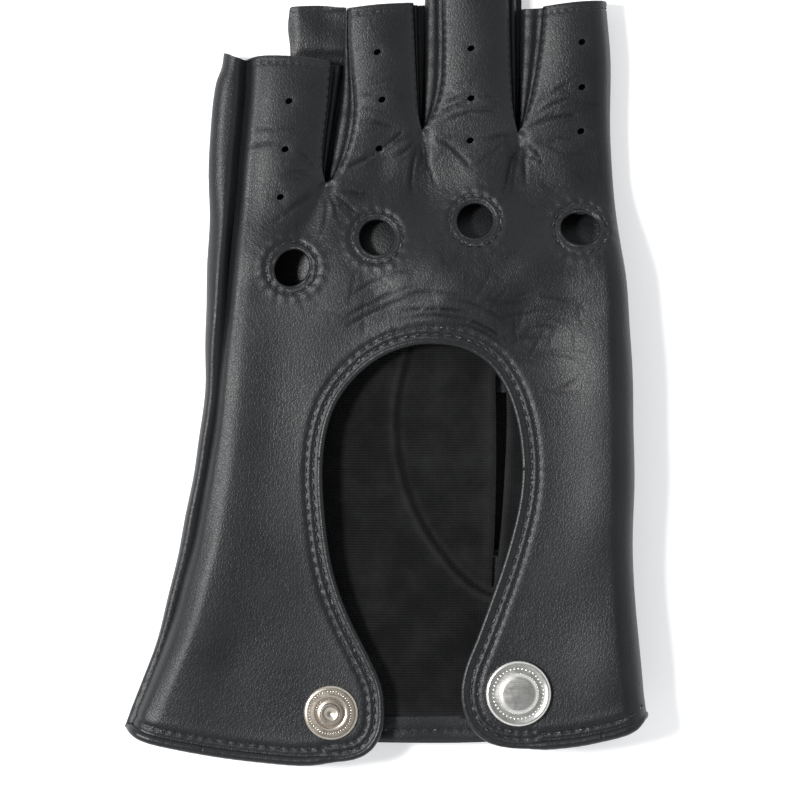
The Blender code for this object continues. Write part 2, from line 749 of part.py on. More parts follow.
def build_snap():
    """Stud with its backing eyelet on one flap; cap with its socket and spring ring on the other."""
    under = -(LEATHER + GAP + FACING)
    post, barrel = STUD_POST_RADIUS, SNAP_BARREL_RADIUS
    stud = snap_piece(
        "snap_stud",
        [
            (0, STUD_POST_HEIGHT), (post - 0.4 * MM, STUD_POST_HEIGHT), (post, STUD_POST_HEIGHT - 0.5 * MM),
            (post - 0.4 * MM, 1.0 * MM), (STUD_RADIUS - MM, 0.9 * MM), (STUD_RADIUS, GAP), (barrel, GAP),
            (barrel, under - 0.4 * MM), (0, under - 0.4 * MM),
        ],
        SNAP_STUD_X, SNAP_STUD_Y,
    )
    eyelet = snap_piece(
        "snap_stud_eyelet",
        [
            (barrel + GAP, under - GAP), (STUD_RADIUS - 0.6 * MM, under - GAP),
            (STUD_RADIUS - MM, under - 0.9 * MM), (barrel + GAP, under - 0.9 * MM),
            (barrel + GAP, under - GAP),
        ],
        SNAP_STUD_X, SNAP_STUD_Y,
    )
    raised = CAP_RAISED_RADIUS
    cap = snap_piece(
        "snap_cap",
        [
            (0, 2.1 * MM), (raised - 0.6 * MM, 2.1 * MM), (raised, 1.5 * MM),
            (CAP_RADIUS - 1.2 * MM, 1.3 * MM), (CAP_RADIUS, 0.7 * MM), (CAP_RADIUS, GAP), (barrel, GAP),
            (barrel, under - 0.4 * MM), (0, under - 0.4 * MM),
        ],
        SNAP_CAP_X, SNAP_CAP_Y,
    )
    bottom = under - GAP
    socket = snap_piece(
        "snap_socket",
        [
            (barrel + GAP, bottom), (SOCKET_RADIUS, bottom), (SOCKET_RADIUS, bottom - 1.8 * MM),
            (post + 0.6 * MM, bottom - 1.8 * MM), (post + 0.6 * MM, bottom - 1.5 * MM),
            (SOCKET_RADIUS - 0.5 * MM, bottom - 1.5 * MM), (SOCKET_RADIUS - 0.5 * MM, bottom - 0.5 * MM),
            (barrel + GAP, bottom - 0.5 * MM), (barrel + GAP, bottom),
        ],
        SNAP_CAP_X, SNAP_CAP_Y,
    )
    turn = Matrix.Translation(cap.location) @ Matrix.Rotation(BACK_TILT, 4, "Y")
    ring = []
    for i in range(19):
        angle = math.radians(20 + 320 * i / 18)
        radius = post + 1.4 * MM
        ring.append(turn @ Vector((radius * math.cos(angle), radius * math.sin(angle), bottom - MM)))
    spring = finish(tube(ring, 0.2 * MM), "snap_spring", SPRING_STEEL)
    return [stud, eyelet], [cap, socket, spring]


# ---------------------------------------------------------------- fingers and thumb


def fourchette(finger, side, wing=0.0):
    """The side wall of a stall, from the edge of the back strip down to the edge of the palm strip.

    A wing is the part of it that isn't sewn down, and lies spread out past the neighbouring finger's end.
    """
    high = FINGER_TOP_Z - LEATHER - GAP
    low = FINGER_BASE_Z + 2 * LEATHER + GAP
    inward = 1 if side == 0 else -1
    shares = [0.06, 0.35, 0.7, 1.0]
    if wing:
        split = between(finger.root[side].y, finger.tip[side].y, LITTLE_TIP_Y + 0.7 * MM)
        shares = [0.06, split, split + 0.01, 1.0]

    def place(column, row):
        top, bottom = finger.edge(side, shares[row]), finger.edge(side, shares[row], palm=True)
        if column == 0:
            return Vector((top.x + inward * 0.4 * MM, top.y, high))
        spread = 0.4 * MM if column == 1 else -(wing if row > 1 else 0.4 * MM)
        return Vector((bottom.x + inward * spread, bottom.y, low))

    sheet = grid_sheet(3 if wing else 2, len(shares), place, LEATHER, inward)
    name = finger.name + ("_outer_fourchette" if side == 0 else "_inner_fourchette")
    return finish(sheet, name, BLACK_LEATHER)


def build_finger(finger):
    back = cut_to(section_sheet(back_section), finger.outline(), perforations(finger, True))
    finish(back, finger.name + "_back", BLACK_LEATHER)
    palm = cut_to(section_sheet(palm_section), finger.outline(palm=True))
    finish(palm, finger.name + "_palm", BLACK_LEATHER)
    walls = []
    if finger.name != "little":
        walls.append(fourchette(finger, 0, RING_WING_WIDTH if finger.name == "ring" else 0.0))
    if finger.name != "index":
        walls.append(fourchette(finger, 1))
    return [back, palm] + walls


def thumb_outline(inset):
    """The thumb seen from above: its round set-in base and its stall, pointing to the fingers."""
    base, half = THUMB_BASE_RADIUS - inset, THUMB_STALL_WIDTH / 2 - inset
    start = math.acos(half / base)
    points = []
    for i in range(25):
        angle = math.pi - start + (math.pi + 2 * start) * i / 24
        points.append(Vector((THUMB_X + base * math.cos(angle), THUMB_Y + base * math.sin(angle))))
    tip = THUMB_Y + THUMB_REACH
    return points + [Vector((THUMB_X + half, tip)), Vector((THUMB_X - half, tip))]


def build_thumb():
    """Two leaves sewn at mid height round their edge, open at the base above and at the cut end."""
    middle = THUMB_HEIGHT / 2
    hollow = thumb_outline(LEATHER)
    for p in hollow[-2:]:
        p.y += 5 * MM
    space = prism(hollow, LEATHER, THUMB_HEIGHT - LEATHER)
    lower = baked(boolean(prism(thumb_outline(0), 0, middle - GAP / 2), "DIFFERENCE", space))
    upper = boolean(prism(thumb_outline(0), middle + GAP / 2, THUMB_HEIGHT), "DIFFERENCE", space)
    upper = baked(boolean(upper, "DIFFERENCE", round_cutter(THUMB_X, THUMB_Y, THUMB_HOLE_RADIUS, 32)))
    for leaf, name in ((lower, "thumb_lower_leaf"), (upper, "thumb_upper_leaf")):
        leaf.hide_render = False
        leaf.display_type = "TEXTURED"
        finish(leaf, name, BLACK_LEATHER)
    return [lower, upper]


def main():
    clear_scene()
    build_hand()
    stud_pieces = build_flap("stud_flap", STUD_EDGE, -1, SNAP_STUD_X, SNAP_STUD_Y)
    cap_pieces = build_flap("cap_flap", CAP_EDGE, 1, SNAP_CAP_X, SNAP_CAP_Y)
    on_stud_flap, on_cap_flap = build_snap()
    hang_on(hinge("stud_flap_bend", fold_ends(STUD_EDGE, -1)[0]), stud_pieces + on_stud_flap)
    hang_on(hinge("cap_flap_bend", fold_ends(CAP_EDGE, 1)[0]), cap_pieces + on_cap_flap)
    for finger in FINGERS.values():
        root = (finger.root[0] + finger.root[1]) / 2
        hang_on(hinge(finger.name + "_root", (root.x, root.y, FINGER_TOP_Z)), build_finger(finger))
    hang_on(hinge("thumb_root", (THUMB_X, THUMB_Y, 0)), build_thumb())
    bpy.context.view_layer.update()


main()
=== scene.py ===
"""Visual model of a left-hand fingerless driving glove, lying palm down.

Lengths in the design classes are in millimetres. Meshes are made in metres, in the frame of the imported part.
"""

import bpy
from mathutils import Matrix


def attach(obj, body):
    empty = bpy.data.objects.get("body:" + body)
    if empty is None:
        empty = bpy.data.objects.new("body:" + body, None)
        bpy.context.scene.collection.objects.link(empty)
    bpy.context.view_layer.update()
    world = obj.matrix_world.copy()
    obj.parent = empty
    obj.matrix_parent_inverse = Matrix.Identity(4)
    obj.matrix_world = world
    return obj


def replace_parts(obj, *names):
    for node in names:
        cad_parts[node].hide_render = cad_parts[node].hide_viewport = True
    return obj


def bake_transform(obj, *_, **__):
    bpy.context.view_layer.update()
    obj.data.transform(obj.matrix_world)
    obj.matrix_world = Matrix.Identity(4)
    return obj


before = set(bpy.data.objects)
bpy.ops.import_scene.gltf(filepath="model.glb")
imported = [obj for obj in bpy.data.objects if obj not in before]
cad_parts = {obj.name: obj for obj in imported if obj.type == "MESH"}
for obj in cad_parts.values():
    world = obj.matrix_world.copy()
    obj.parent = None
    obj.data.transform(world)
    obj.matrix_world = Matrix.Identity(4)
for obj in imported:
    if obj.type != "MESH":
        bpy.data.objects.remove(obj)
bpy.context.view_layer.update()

import logging
import math
from dataclasses import dataclass
from enum import Enum

import bpy
import numpy as np
from mathutils import Matrix, Vector
from mathutils.geometry import delaunay_2d_cdt
from mathutils.kdtree import KDTree

Material = bpy.types.Material
Piece = bpy.types.Object
Socket = bpy.types.NodeSocket

log = logging.getLogger("driving_glove")
MM = 0.001


class Body(str, Enum):
    """Rigid bodies of the glove, by their names in the record."""

    HAND = "hand"
    STUD_FLAP = "stud_flap"
    CAP_FLAP = "cap_flap"
    LITTLE = "little_finger"
    RING = "ring_finger"
    MIDDLE = "middle_finger"
    INDEX = "index_finger"
    THUMB = "thumb"

    @property
    def number(self) -> int:
        """Place in the list of bodies."""
        return list(Body).index(self)


# ------------------------------------------------------------------ number tools


def smooth(share: np.ndarray | float) -> np.ndarray | float:
    """Ease from 0 to 1 with level ends.

    Args:
        share: How far along, clipped to 0..1.

    Returns:
        The eased value.
    """
    share = np.clip(share, 0.0, 1.0)
    return share * share * (3 - 2 * share)


def ridge(distance: np.ndarray, centre: float, width: float) -> np.ndarray:
    """A soft ridge of height 1.

    Args:
        distance: Distance from a line or a point.
        centre: Distance at which the ridge is highest.
        width: Distance from its crest to where it is about a third as high.

    Returns:
        Its height at each distance.
    """
    return np.exp(-(((distance - centre) / width) ** 2))


def spline(points: list, step: float = 0.6) -> np.ndarray:
    """A smooth line through points, resampled evenly.

    Args:
        points: Points in 2 or 3 dimensions, in millimetres.
        step: Distance between the samples.

    Returns:
        The samples, one a row, with both ends kept.
    """
    p = np.array(points, float)
    p = np.vstack([2 * p[0] - p[1], p, 2 * p[-1] - p[-2]])
    t = np.linspace(0, 1, 14, endpoint=False)[:, None]
    rows = []
    for a, b, c, d in zip(p, p[1:], p[2:], p[3:]):
        square, cube = 2 * a - 5 * b + 4 * c - d, 3 * b - a - 3 * c + d
        rows.append(0.5 * (2 * b + (c - a) * t + square * t**2 + cube * t**3))
    return resample(np.vstack(rows + [p[-2][None]]), step)


def resample(line: np.ndarray, step: float) -> np.ndarray:
    """The same line with evenly spaced points.

    Args:
        line: Points of the line.
        step: Wanted distance between them.

    Returns:
        The evenly spaced points, with both ends kept.
    """
    length = np.concatenate([[0], np.cumsum(np.linalg.norm(np.diff(line, axis=0), axis=1))])
    at = np.linspace(0, length[-1], max(2, round(length[-1] / step) + 1))
    return np.stack([np.interp(at, length, line[:, k]) for k in range(line.shape[1])], axis=1)


def straight(step: float, *points: tuple) -> np.ndarray:
    """Evenly spaced points on the straight lines between corners."""
    return resample(np.array(points), step)


def offset(line: np.ndarray, distance: float) -> np.ndarray:
    """The plan line moved to its left.

    Args:
        line: Points in plan.
        distance: How far, negative for its right.

    Returns:
        The moved line.
    """
    ahead = np.gradient(line[:, :2], axis=0)
    ahead /= np.linalg.norm(ahead, axis=1)[:, None] + 1e-9
    return line[:, :2] + distance * np.stack([-ahead[:, 1], ahead[:, 0]], axis=1)


def ring(x: float, y: float, rx: float, ry: float, step: float, tilt: float = 0.0) -> np.ndarray:
    """A closed oval in plan, without a repeated last point.

    Args:
        x: Centre.
        y: Centre.
        rx: Half width along the tilted X axis.
        ry: Half width along the tilted Y axis.
        step: Distance between the points.
        tilt: Turn of the oval, in degrees.

    Returns:
        The points, anticlockwise.
    """
    count = max(8, round(math.tau * (rx + ry) / 2 / step))
    a = np.arange(count) * math.tau / count
    c, s = math.cos(math.radians(tilt)), math.sin(math.radians(tilt))
    u, v = rx * np.cos(a), ry * np.sin(a)
    return np.stack([x + u * c - v * s, y + u * s + v * c], axis=1)


def inside(points: np.ndarray, outline: np.ndarray) -> np.ndarray:
    """Which points are inside a closed outline.

    Args:
        points: Points in plan.
        outline: Corners of the outline.

    Returns:
        A mask.
    """
    found = np.zeros(len(points), bool)
    x, y = points[:, 0], points[:, 1]
    for (ax, ay), (bx, by) in zip(outline, np.roll(outline, -1, axis=0)):
        if ay == by:
            continue
        crosses = (ay > y) != (by > y)
        found ^= crosses & (x < (bx - ax) * (y - ay) / (by - ay) + ax)
    return found


class Nearest:
    """Distances in plan to the closest of many points."""

    def __init__(self, points: np.ndarray) -> None:
        self.points = np.asarray(points, float)
        self.tree = KDTree(len(self.points))
        for i, p in enumerate(self.points):
            self.tree.insert((p[0], p[1], 0), i)
        self.tree.balance()

    def __call__(self, points: np.ndarray) -> tuple[np.ndarray, np.ndarray]:
        """Find the closest stored point of each given one.

        Args:
            points: Points in plan.

        Returns:
            Distances and indices.
        """
        found = [self.tree.find((p[0], p[1], 0)) for p in points]
        return np.array([f[2] for f in found]), np.array([f[1] for f in found], int)


def curve_x(points: list) -> tuple[np.ndarray, np.ndarray]:
    """A smooth x-of-y curve through (y, x) points, as a lookup."""
    line = spline(sorted(points), 0.5)
    return line[:, 0], line[:, 1]


# ------------------------------------------------------------------ the glove's form


@dataclass(frozen=True)
class Fork:
    """Where two fingers meet: the point, and how its valley runs down the back of the hand."""

    x: float
    y: float
    lean: float  # sideways run of the valley for each millimetre down
    depth: float
    reach: float


@dataclass(frozen=True)
class FingerShape:
    """One half finger in plan: its edges from fork to tip, its perforations and its bend."""

    name: str
    body: Body
    left: list
    right: list
    holes: tuple
    start_y: float
    end_y: float
    palm_left: list
    palm_right: list


@dataclass(frozen=True)
class GloveForm:
    """Overall form: outlines, heights and the keyhole edge."""

    leather: float = 0.85
    top_left: float = 11.2
    top_right: float = 16.0
    slope_start: float = -41.5
    slope_width: float = 97.3
    finger_top: float = 9.3
    palm_right_z: float = 6.3
    finger_base: float = 2.3
    shoulder_reach: float = 5.3
    shoulder_radius: float = 7.0
    left_xs: tuple = (
        (96, -38.0), (72.5, -38.3), (65, -40.0), (53, -41.2), (36, -41.4), (19, -42.1), (-4, -42.3),
        (-21, -44.6), (-33, -46.5), (-44, -48.7), (-55.7, -51.6), (-64.4, -54.1), (-73.6, -57.2),
        (-80.3, -59.8), (-94, -64.6),
    )
    seam_xs: tuple = (
        (96, -32.0), (70, -32.7), (59, -33.4), (48, -34.5), (36, -35.4), (25, -36.6), (13, -37.7), (2, -39.1),
        (-10, -40.2), (-21, -41.9), (-39, -45.2), (-49, -47.8), (-56.6, -49.8), (-64.4, -52.4),
        (-72, -55.4), (-83, -59.8), (-94, -63.6),
    )
    right_xs: tuple = (
        (96, 49.6), (84, 50.1), (71, 51.1), (53, 51.5), (42, 52.2), (30, 53.4), (19, 54.7), (7, 55.2),
        (-21, 55.9), (-44, 55.9), (-62, 57.0), (-73, 58.2), (-79, 59.2), (-94, 62.0),
    )
    keyhole: tuple = (
        (-14.0, -90.9), (-8.5, -90.3), (-5.0, -88.9), (-2.6, -86.4), (-1.1, -82.6), (-0.9, -77.5),
        (-1.7, -72.5), (-4.6, -66.0), (-8.4, -58.5), (-11.4, -51.0), (-13.4, -43.0), (-14.6, -33.0),
        (-15.0, -24.0), (-14.2, -15.6), (-11.9, -8.6), (-7.6, -2.6), (-1.8, 2.1), (4.5, 4.6), (10.5, 5.2),
        (17.0, 4.2), (22.6, 1.0), (26.6, -4.4), (29.2, -11.4), (30.5, -19.5), (30.5, -27.0), (29.2, -35.0),
        (26.6, -44.5), (23.5, -53.5), (20.4, -62.0), (17.8, -68.5), (16.7, -74.0), (17.2, -78.8),
        (19.2, -83.0), (22.8, -86.0), (27.5, -87.3), (33.0, -87.5),
    )
    stud_hem: tuple = (
        (-61.2, -82.4), (-58.4, -84.9), (-54.7, -86.4), (-47.8, -87.9), (-38.6, -89.5), (-29.4, -90.6),
        (-20.2, -91.3), (-14.0, -90.9),
    )
    cap_hem: tuple = (
        (33.0, -87.5), (38.5, -87.2), (44.2, -86.5), (49.0, -85.5), (53.4, -84.4), (57.2, -82.9),
        (59.3, -80.8),
    )
    stud_fold: tuple = ((-14.6, -19.0), (-45.0, -92.0))
    cap_fold: tuple = ((30.4, -19.5), (51.0, -92.0))
    fold_width: float = 9.0

    def edge(self, which: str, y: np.ndarray) -> np.ndarray:
        """X of an outline or of the side seam.

        Args:
            which: left, seam or right.
            y: Distances along the glove.

        Returns:
            X for each y.
        """
        ys, xs = curve_x(list(getattr(self, which + "_xs")))
        return np.interp(y, ys, xs)

    def top(self, x: np.ndarray, y: np.ndarray) -> np.ndarray:
        """Height of the back before any rounding or relief.

        Args:
            x: Across the glove.
            y: Along it.

        Returns:
            Heights over the table.
        """
        rise = (self.top_right - self.top_left) * (x - self.slope_start) / self.slope_width
        drop = smooth((y - 20) / 25)
        return (self.top_left + rise) * (1 - drop) + self.finger_top * drop

    def base(self, x: np.ndarray, y: np.ndarray) -> np.ndarray:
        """Height of the underside of the palm.

        Args:
            x: Across the glove.
            y: Along it.

        Returns:
            Heights over the table.
        """
        palm = self.palm_right_z * smooth((x + 30) / 32)
        drop = smooth((y - 25) / 20)
        return palm * (1 - drop) + self.finger_base * drop

    def shoulder(self, away: np.ndarray, y: np.ndarray) -> np.ndarray:
        """How far the back has come down beside the side seam.

        Args:
            away: Distance from the seam.
            y: Distance along the glove.

        Returns:
            The drop below the flat top.
        """
        reach = np.clip(self.shoulder_reach - 0.9 * smooth((y - 20) / 25) - away, 0, None)
        return self.shoulder_radius - np.sqrt(self.shoulder_radius**2 - reach**2)

    def side_radius(self, which: str, y: np.ndarray) -> np.ndarray:
        """Half the height of a rolled side."""
        x = self.edge(which, y)
        return (self.top(x, y) - self.base(x, y)) / 2


FORKS = (
    Fork(-14.4, 42.4, -0.42, 1.5, 9.0),
    Fork(7.8, 54.6, 0.05, 1.2, 6.5),
    Fork(29.9, 53.9, 0.12, 1.2, 6.0),
)
FINGERS = (
    FingerShape(
        "little", Body.LITTLE,
        [], [(-14.4, 42.4), (-15.2, 46.0), (-15.0, 52.0), (-14.1, 60.0), (-13.2, 70.4)],
        ((-22.8, 61.2), (-23.7, 50.1), (-24.8, 39.1)), 43.4, 49.4,
        [], [(-14.2, 42.4), (-13.2, 48.0), (-11.9, 56.0), (-10.5, 66.0), (-10.0, 70.0)],
    ),
    FingerShape(
        "ring", Body.RING,
        [
            (-14.4, 42.4), (-12.4, 43.6), (-10.2, 47.6), (-8.3, 53.4), (-7.6, 60.0), (-8.2, 67.0),
            (-9.0, 75.0), (-9.1, 82.6),
        ],
        [(7.8, 54.6), (7.0, 58.0), (6.6, 64.0), (6.1, 74.0), (5.6, 83.9)],
        ((-2.5, 72.5), (-1.4, 61.6), (-2.1, 50.4)), 55.2, 61.2,
        [(-14.2, 42.4), (-13.0, 48.0), (-11.75, 56.0), (-10.4, 66.0), (-9.9, 70.0), (-9.6, 83.0)],
        [(7.8, 54.6), (8.2, 60.0), (8.6, 70.0), (8.95, 84.0)],
    ),
    FingerShape(
        "middle", Body.MIDDLE,
        [(7.8, 54.6), (9.3, 56.4), (11.2, 60.5), (12.5, 66.0), (12.8, 74.0), (12.7, 82.0), (12.6, 91.3)],
        [(29.9, 53.9), (28.9, 58.5), (28.3, 66.0), (27.9, 76.0), (27.6, 91.5)],
        ((19.1, 73.4), (19.1, 61.9), (18.9, 52.2)), 55.2, 61.2,
        [(7.8, 54.6), (8.25, 60.0), (8.65, 70.0), (9.0, 84.0), (9.1, 91.3)],
        [(29.9, 53.9), (30.35, 60.0), (30.75, 72.0), (30.95, 83.0), (30.9, 91.3)],
    ),
    FingerShape(
        "index", Body.INDEX,
        [(29.9, 53.9), (31.4, 56.4), (33.0, 61.5), (34.3, 68.0), (35.4, 75.5), (36.0, 83.0)],
        [],
        ((44.6, 74.8), (44.6, 64.4), (44.4, 54.3)), 54.6, 60.6,
        [(29.9, 53.9), (30.4, 60.0), (30.8, 72.0), (31.0, 83.0)],
        [],
    ),
)
TIPS = {
    "little": ((-32.8, 70.9), (-28.0, 71.6), (-20.0, 71.3), (-13.2, 70.4)),
    "ring": ((-9.1, 82.6), (-2.0, 83.4), (5.6, 83.9)),
    "middle": ((12.6, 91.3), (20.0, 91.8), (27.6, 91.5)),
    "index": ((36.0, 83.0), (43.0, 83.9), (49.8, 84.4)),
}


@dataclass(frozen=True)
class KnuckleHole:
    """A round opening over a knuckle."""

    name: str
    x: float
    y: float
    rx: float
    ry: float
    tilt: float = 0.0

    def ring(self, out: float, step: float) -> np.ndarray:
        """A closed oval round the hole, so far outside its edge."""
        return ring(self.x, self.y, self.rx + out, self.ry + out, step, self.tilt)


KNUCKLES = (
    KnuckleHole("little", -22.1, 22.8, 4.2, 4.8, -32.0),
    KnuckleHole("ring", -2.6, 29.8, 4.4, 4.5),
    KnuckleHole("middle", 20.0, 33.6, 4.5, 4.4, 20.0),
    KnuckleHole("index", 44.2, 31.7, 4.9, 4.1, -10.0),
)
FORM = GloveForm()


def keyhole_line(step: float = 0.55) -> np.ndarray:
    """The free edge of both flaps and the keyhole, from the little-finger side to the thumb side."""
    line = spline(list(FORM.stud_hem) + list(FORM.keyhole)[1:-1] + list(FORM.cap_hem), step)
    return resample(offset(line, 0.75), step)


def fold_side(points: np.ndarray, fold: tuple, sign: int) -> np.ndarray:
    """Distance past a flap's bend line, positive on the flap.

    Args:
        points: Points in plan.
        fold: Upper and lower end of the bend line.
        sign: 1 where the flap is on the left of the line, seen from its upper end, or -1.

    Returns:
        The distances.
    """
    (ax, ay), (bx, by) = fold
    along = np.array([bx - ax, by - ay])
    along = along / np.linalg.norm(along)
    normal = np.array([-along[1], along[0]]) * sign
    return (points[:, 0] - ax) * normal[0] + (points[:, 1] - ay) * normal[1]


def body_at(points: np.ndarray, flaps: bool = True) -> np.ndarray:
    """Body that each plan point belongs to.

    Args:
        points: Points in plan.
        flaps: Whether the flaps count.

    Returns:
        Indices into list(Body).
    """
    x, y = points[:, 0], points[:, 1]
    found = np.full(len(points), Body.HAND.number)
    if flaps:
        stud = (fold_side(points, FORM.stud_fold, 1) > 0) & (y < FORM.stud_fold[0][1]) & (x < 8)
        cap = (fold_side(points, FORM.cap_fold, -1) > 0) & (y < FORM.cap_fold[0][1]) & (x > 8)
        found[stud], found[cap] = Body.STUD_FLAP.number, Body.CAP_FLAP.number
    between = [
        np.full(len(points), -999.0),
        np.interp(y, [42.4, 48, 56, 66, 70, 84], [-14.25, -13.1, -11.82, -10.45, -9.95, -9.9]),
        np.interp(y, [54.6, 60, 70, 84], [7.8, 8.22, 8.62, 8.98]),
        np.interp(y, [53.9, 60, 72, 84], [29.9, 30.37, 30.77, 30.97]),
        np.full(len(points), 999.0),
    ]
    for low, high, shape in zip(between, between[1:], FINGERS):
        found[(x > low) & (x <= high) & (y > shape.start_y)] = shape.body.number
    return found


def bend(piece: Piece, body: Body) -> Piece:
    """Attach a piece of the hand or the thumb to its body; bake the transform of a finger's or a flap's piece
    into its mesh, where it stands.

    Args:
        piece: The piece, in place.
        body: Its body.

    Returns:
        The same piece.
    """
    if body in (Body.HAND, Body.THUMB):
        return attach(piece, body.value)
    if body in (Body.STUD_FLAP, Body.CAP_FLAP):
        fold, sign = (FORM.stud_fold, 1) if body == Body.STUD_FLAP else (FORM.cap_fold, -1)
        (ax, ay), (bx, by) = fold
        along = Vector((bx - ax, by - ay)).normalized()
        normal = Vector((-along.y, along.x)) * sign * FORM.fold_width
        start, end = (ax, ay, 12), (ax + normal.x, ay + normal.y, 12)
    else:
        shape = next(f for f in FINGERS if f.body == body)
        start, end = (0, shape.start_y, 9), (0, shape.end_y, 9)
    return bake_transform(piece, "hand", body.value, start=Vector(start) * MM, end=Vector(end) * MM)


def settle(piece: Piece, body: Body, node: str) -> Piece:
    """Attach or bake a piece as bend does, and hide the imported part of its node, which the piece stands for.
    """
    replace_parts(bend(piece, body), node)
    return piece


# ------------------------------------------------------------------ relief of the leather


@dataclass(frozen=True)
class Crease:
    """A fine fold in the leather: a bent line, deepest at its middle."""

    x: float
    y: float
    heading: float  # degrees, 0 along +X
    length: float
    bow: float = 0.0
    depth: float = 0.2

    def samples(self) -> np.ndarray:
        """Points along the crease with its depth at each.

        Returns:
            Rows of x, y and depth.
        """
        t = np.linspace(0, 1, max(4, int(self.length / 0.45)))
        a = math.radians(self.heading)
        ahead, side = np.array([math.cos(a), math.sin(a)]), np.array([-math.sin(a), math.cos(a)])
        run, out = np.outer(t * self.length, ahead), np.outer(4 * self.bow * t * (1 - t), side)
        depth = self.depth * np.sin(np.pi * np.clip(t * 0.94 + 0.06, 0, 1)) ** 0.6
        return np.column_stack([np.array([self.x, self.y]) + run + out, depth])


class Wrinkles:
    """All creases of the back, placed where the leather bends: forks, holes, finger roots and keyhole."""

    WIDTH = 0.42
    FANNED = 12
    ROUND_A_HOLE = 12
    ACROSS_A_FINGER = 9
    PLEATS = 26
    BESIDE_THE_KEYHOLE = 16
    FINE = 120

    def __init__(self, seed: int = 7) -> None:
        self.rng = np.random.default_rng(seed)
        self.creases: list[Crease] = []
        self.fans()
        self.rings()
        self.roots()
        self.arches()
        self.scatter()
        rows = np.vstack([c.samples() for c in self.creases])
        self.depths = rows[:, 2]
        self.nearest = Nearest(rows[:, :2])

    def add(self, x: float, y: float, heading: float, length: float, bow: float, depth: float) -> None:
        """Keep one crease."""
        self.creases.append(Crease(x, y, heading, length, bow, depth))

    def draw(
        self, x: float, y: float, heading: float, turn: float, length: tuple, bow: tuple, depth: tuple,
    ) -> None:
        """Keep a crease with chance sizes.

        Args:
            x: Its start.
            y: Its start.
            heading: Its direction, in degrees.
            turn: How far the direction may be off.
            length: Least and greatest length.
            bow: Least and greatest bow.
            depth: Least and greatest depth.
        """
        chance = self.rng.uniform
        self.add(x, y, heading + chance(-turn, turn), chance(*length), chance(*bow), chance(*depth))

    def fans(self) -> None:
        """Short folds that spread from each fork."""
        for fork, spread in zip(FORKS, ((-150, 60), (-160, -10), (-165, 60))):
            for _ in range(self.FANNED):
                heading = self.rng.uniform(*spread)
                start = self.rng.uniform(1.2, 5.0)
                a = math.radians(heading)
                x, y = fork.x + start * math.cos(a), fork.y + start * math.sin(a)
                self.draw(x, y, heading, 18, (4, 13), (-0.9, 0.9), (0.08, 0.2))

    def rings(self) -> None:
        """Short radial folds outside the stitched rings of the knuckle holes."""
        for hole in KNUCKLES:
            for i in range(self.ROUND_A_HOLE):
                a = math.tau * (i + self.rng.uniform(0, 0.9)) / self.ROUND_A_HOLE
                start = 7.2 + self.rng.uniform(0, 1.0)
                x, y = hole.x + start * math.cos(a), hole.y + start * math.sin(a)
                self.draw(x, y, math.degrees(a), 22, (1.5, 4.5), (-0.4, 0.4), (0.02, 0.06))

    def roots(self) -> None:
        """Folds across the fingers where they bend."""
        for x, y, heading, length, bow, depth in (
            (-8.8, 46.4, 33, 14.5, -0.7, 0.5), (-32.5, 50.6, 2, 9.5, 0.5, 0.22),
            (-31.5, 54.5, -4, 7.0, 0.5, 0.14), (10.6, 57.8, 14, 12.0, 1.0, 0.26),
            (11.6, 59.6, 16, 11.0, 1.2, 0.2), (13.0, 56.4, 10, 13.0, 1.2, 0.18),
            (17.0, 61.0, 8, 8.0, 0.8, 0.15), (-6.8, 62.6, 3, 6.0, 0.2, 0.16),
            (-6.6, 59.4, -6, 7.0, 0.4, 0.14), (-6.5, 56.2, -8, 8.0, 0.5, 0.14),
            (34.0, 57.8, 24, 11.0, 0.9, 0.2), (33.2, 55.4, 14, 11.0, 0.7, 0.2),
            (35.0, 60.8, 32, 9.0, 0.6, 0.16), (31.8, 52.0, -52, 5.0, -1.6, 0.34),
            (29.6, 50.4, -36, 7.0, 2.2, 0.3), (7.9, 54.0, -86, 10.0, 0.8, 0.35),
            (37.0, 52.0, 4, 7.0, 0.4, 0.14), (-20.5, 49.6, -50, 6.0, 0.5, 0.16),
        ):
            self.add(x, y, heading, length, bow, depth)
        for shape, low, high in zip(FINGERS, (-32, -6, 12, 35), (-16, 5, 27, 48)):
            for _ in range(self.ACROSS_A_FINGER):
                x = self.rng.uniform(low, high - 5)
                y = shape.start_y + self.rng.uniform(-6, 12)
                heading, length = self.rng.uniform(-16, 20), self.rng.uniform(3, 8)
                self.add(x, y, heading, length, self.rng.uniform(-0.6, 0.8), 0.08)

    def arches(self) -> None:
        """Long folds round the top of the keyhole, and pleats that run up from it."""
        for lift, depth in ((6.4, 0.16), (8.6, 0.2), (12.0, 0.12)):
            for start, length in ((-9.0, 17.0), (3.0, 16.0), (14.0, 15.0)):
                y = 4.2 + lift - (start - 3) ** 2 * 0.006
                heading = 24 - (start + 9) * 2.1
                y += self.rng.uniform(-0.5, 0.5)
                self.add(start, y, heading, length, self.rng.uniform(0.6, 1.6), depth)
        for _ in range(self.PLEATS):
            a = math.radians(self.rng.uniform(22, 128))
            r = self.rng.uniform(33, 48)
            x, y = 9 + r * 0.86 * math.cos(a), -22 + r * math.sin(a)
            self.draw(x, y, math.degrees(a), 45, (4, 12), (-1.0, 1.0), (0.04, 0.11))
        for _ in range(self.BESIDE_THE_KEYHOLE):
            x, y = self.rng.uniform(22, 36), self.rng.uniform(3, 17)
            self.draw(x, y, -1, 11, (7, 14), (-0.7, 0.7), (0.06, 0.12))

    def scatter(self) -> None:
        """Fine lines all over the knuckle area."""
        for _ in range(self.FINE):
            x, y = self.rng.uniform(-34, 47), self.rng.uniform(8, 52)
            heading, length = self.rng.normal(-25, 50), self.rng.uniform(2.5, 7)
            self.add(x, y, heading, length, self.rng.uniform(-0.6, 0.6), self.rng.uniform(0.02, 0.06))

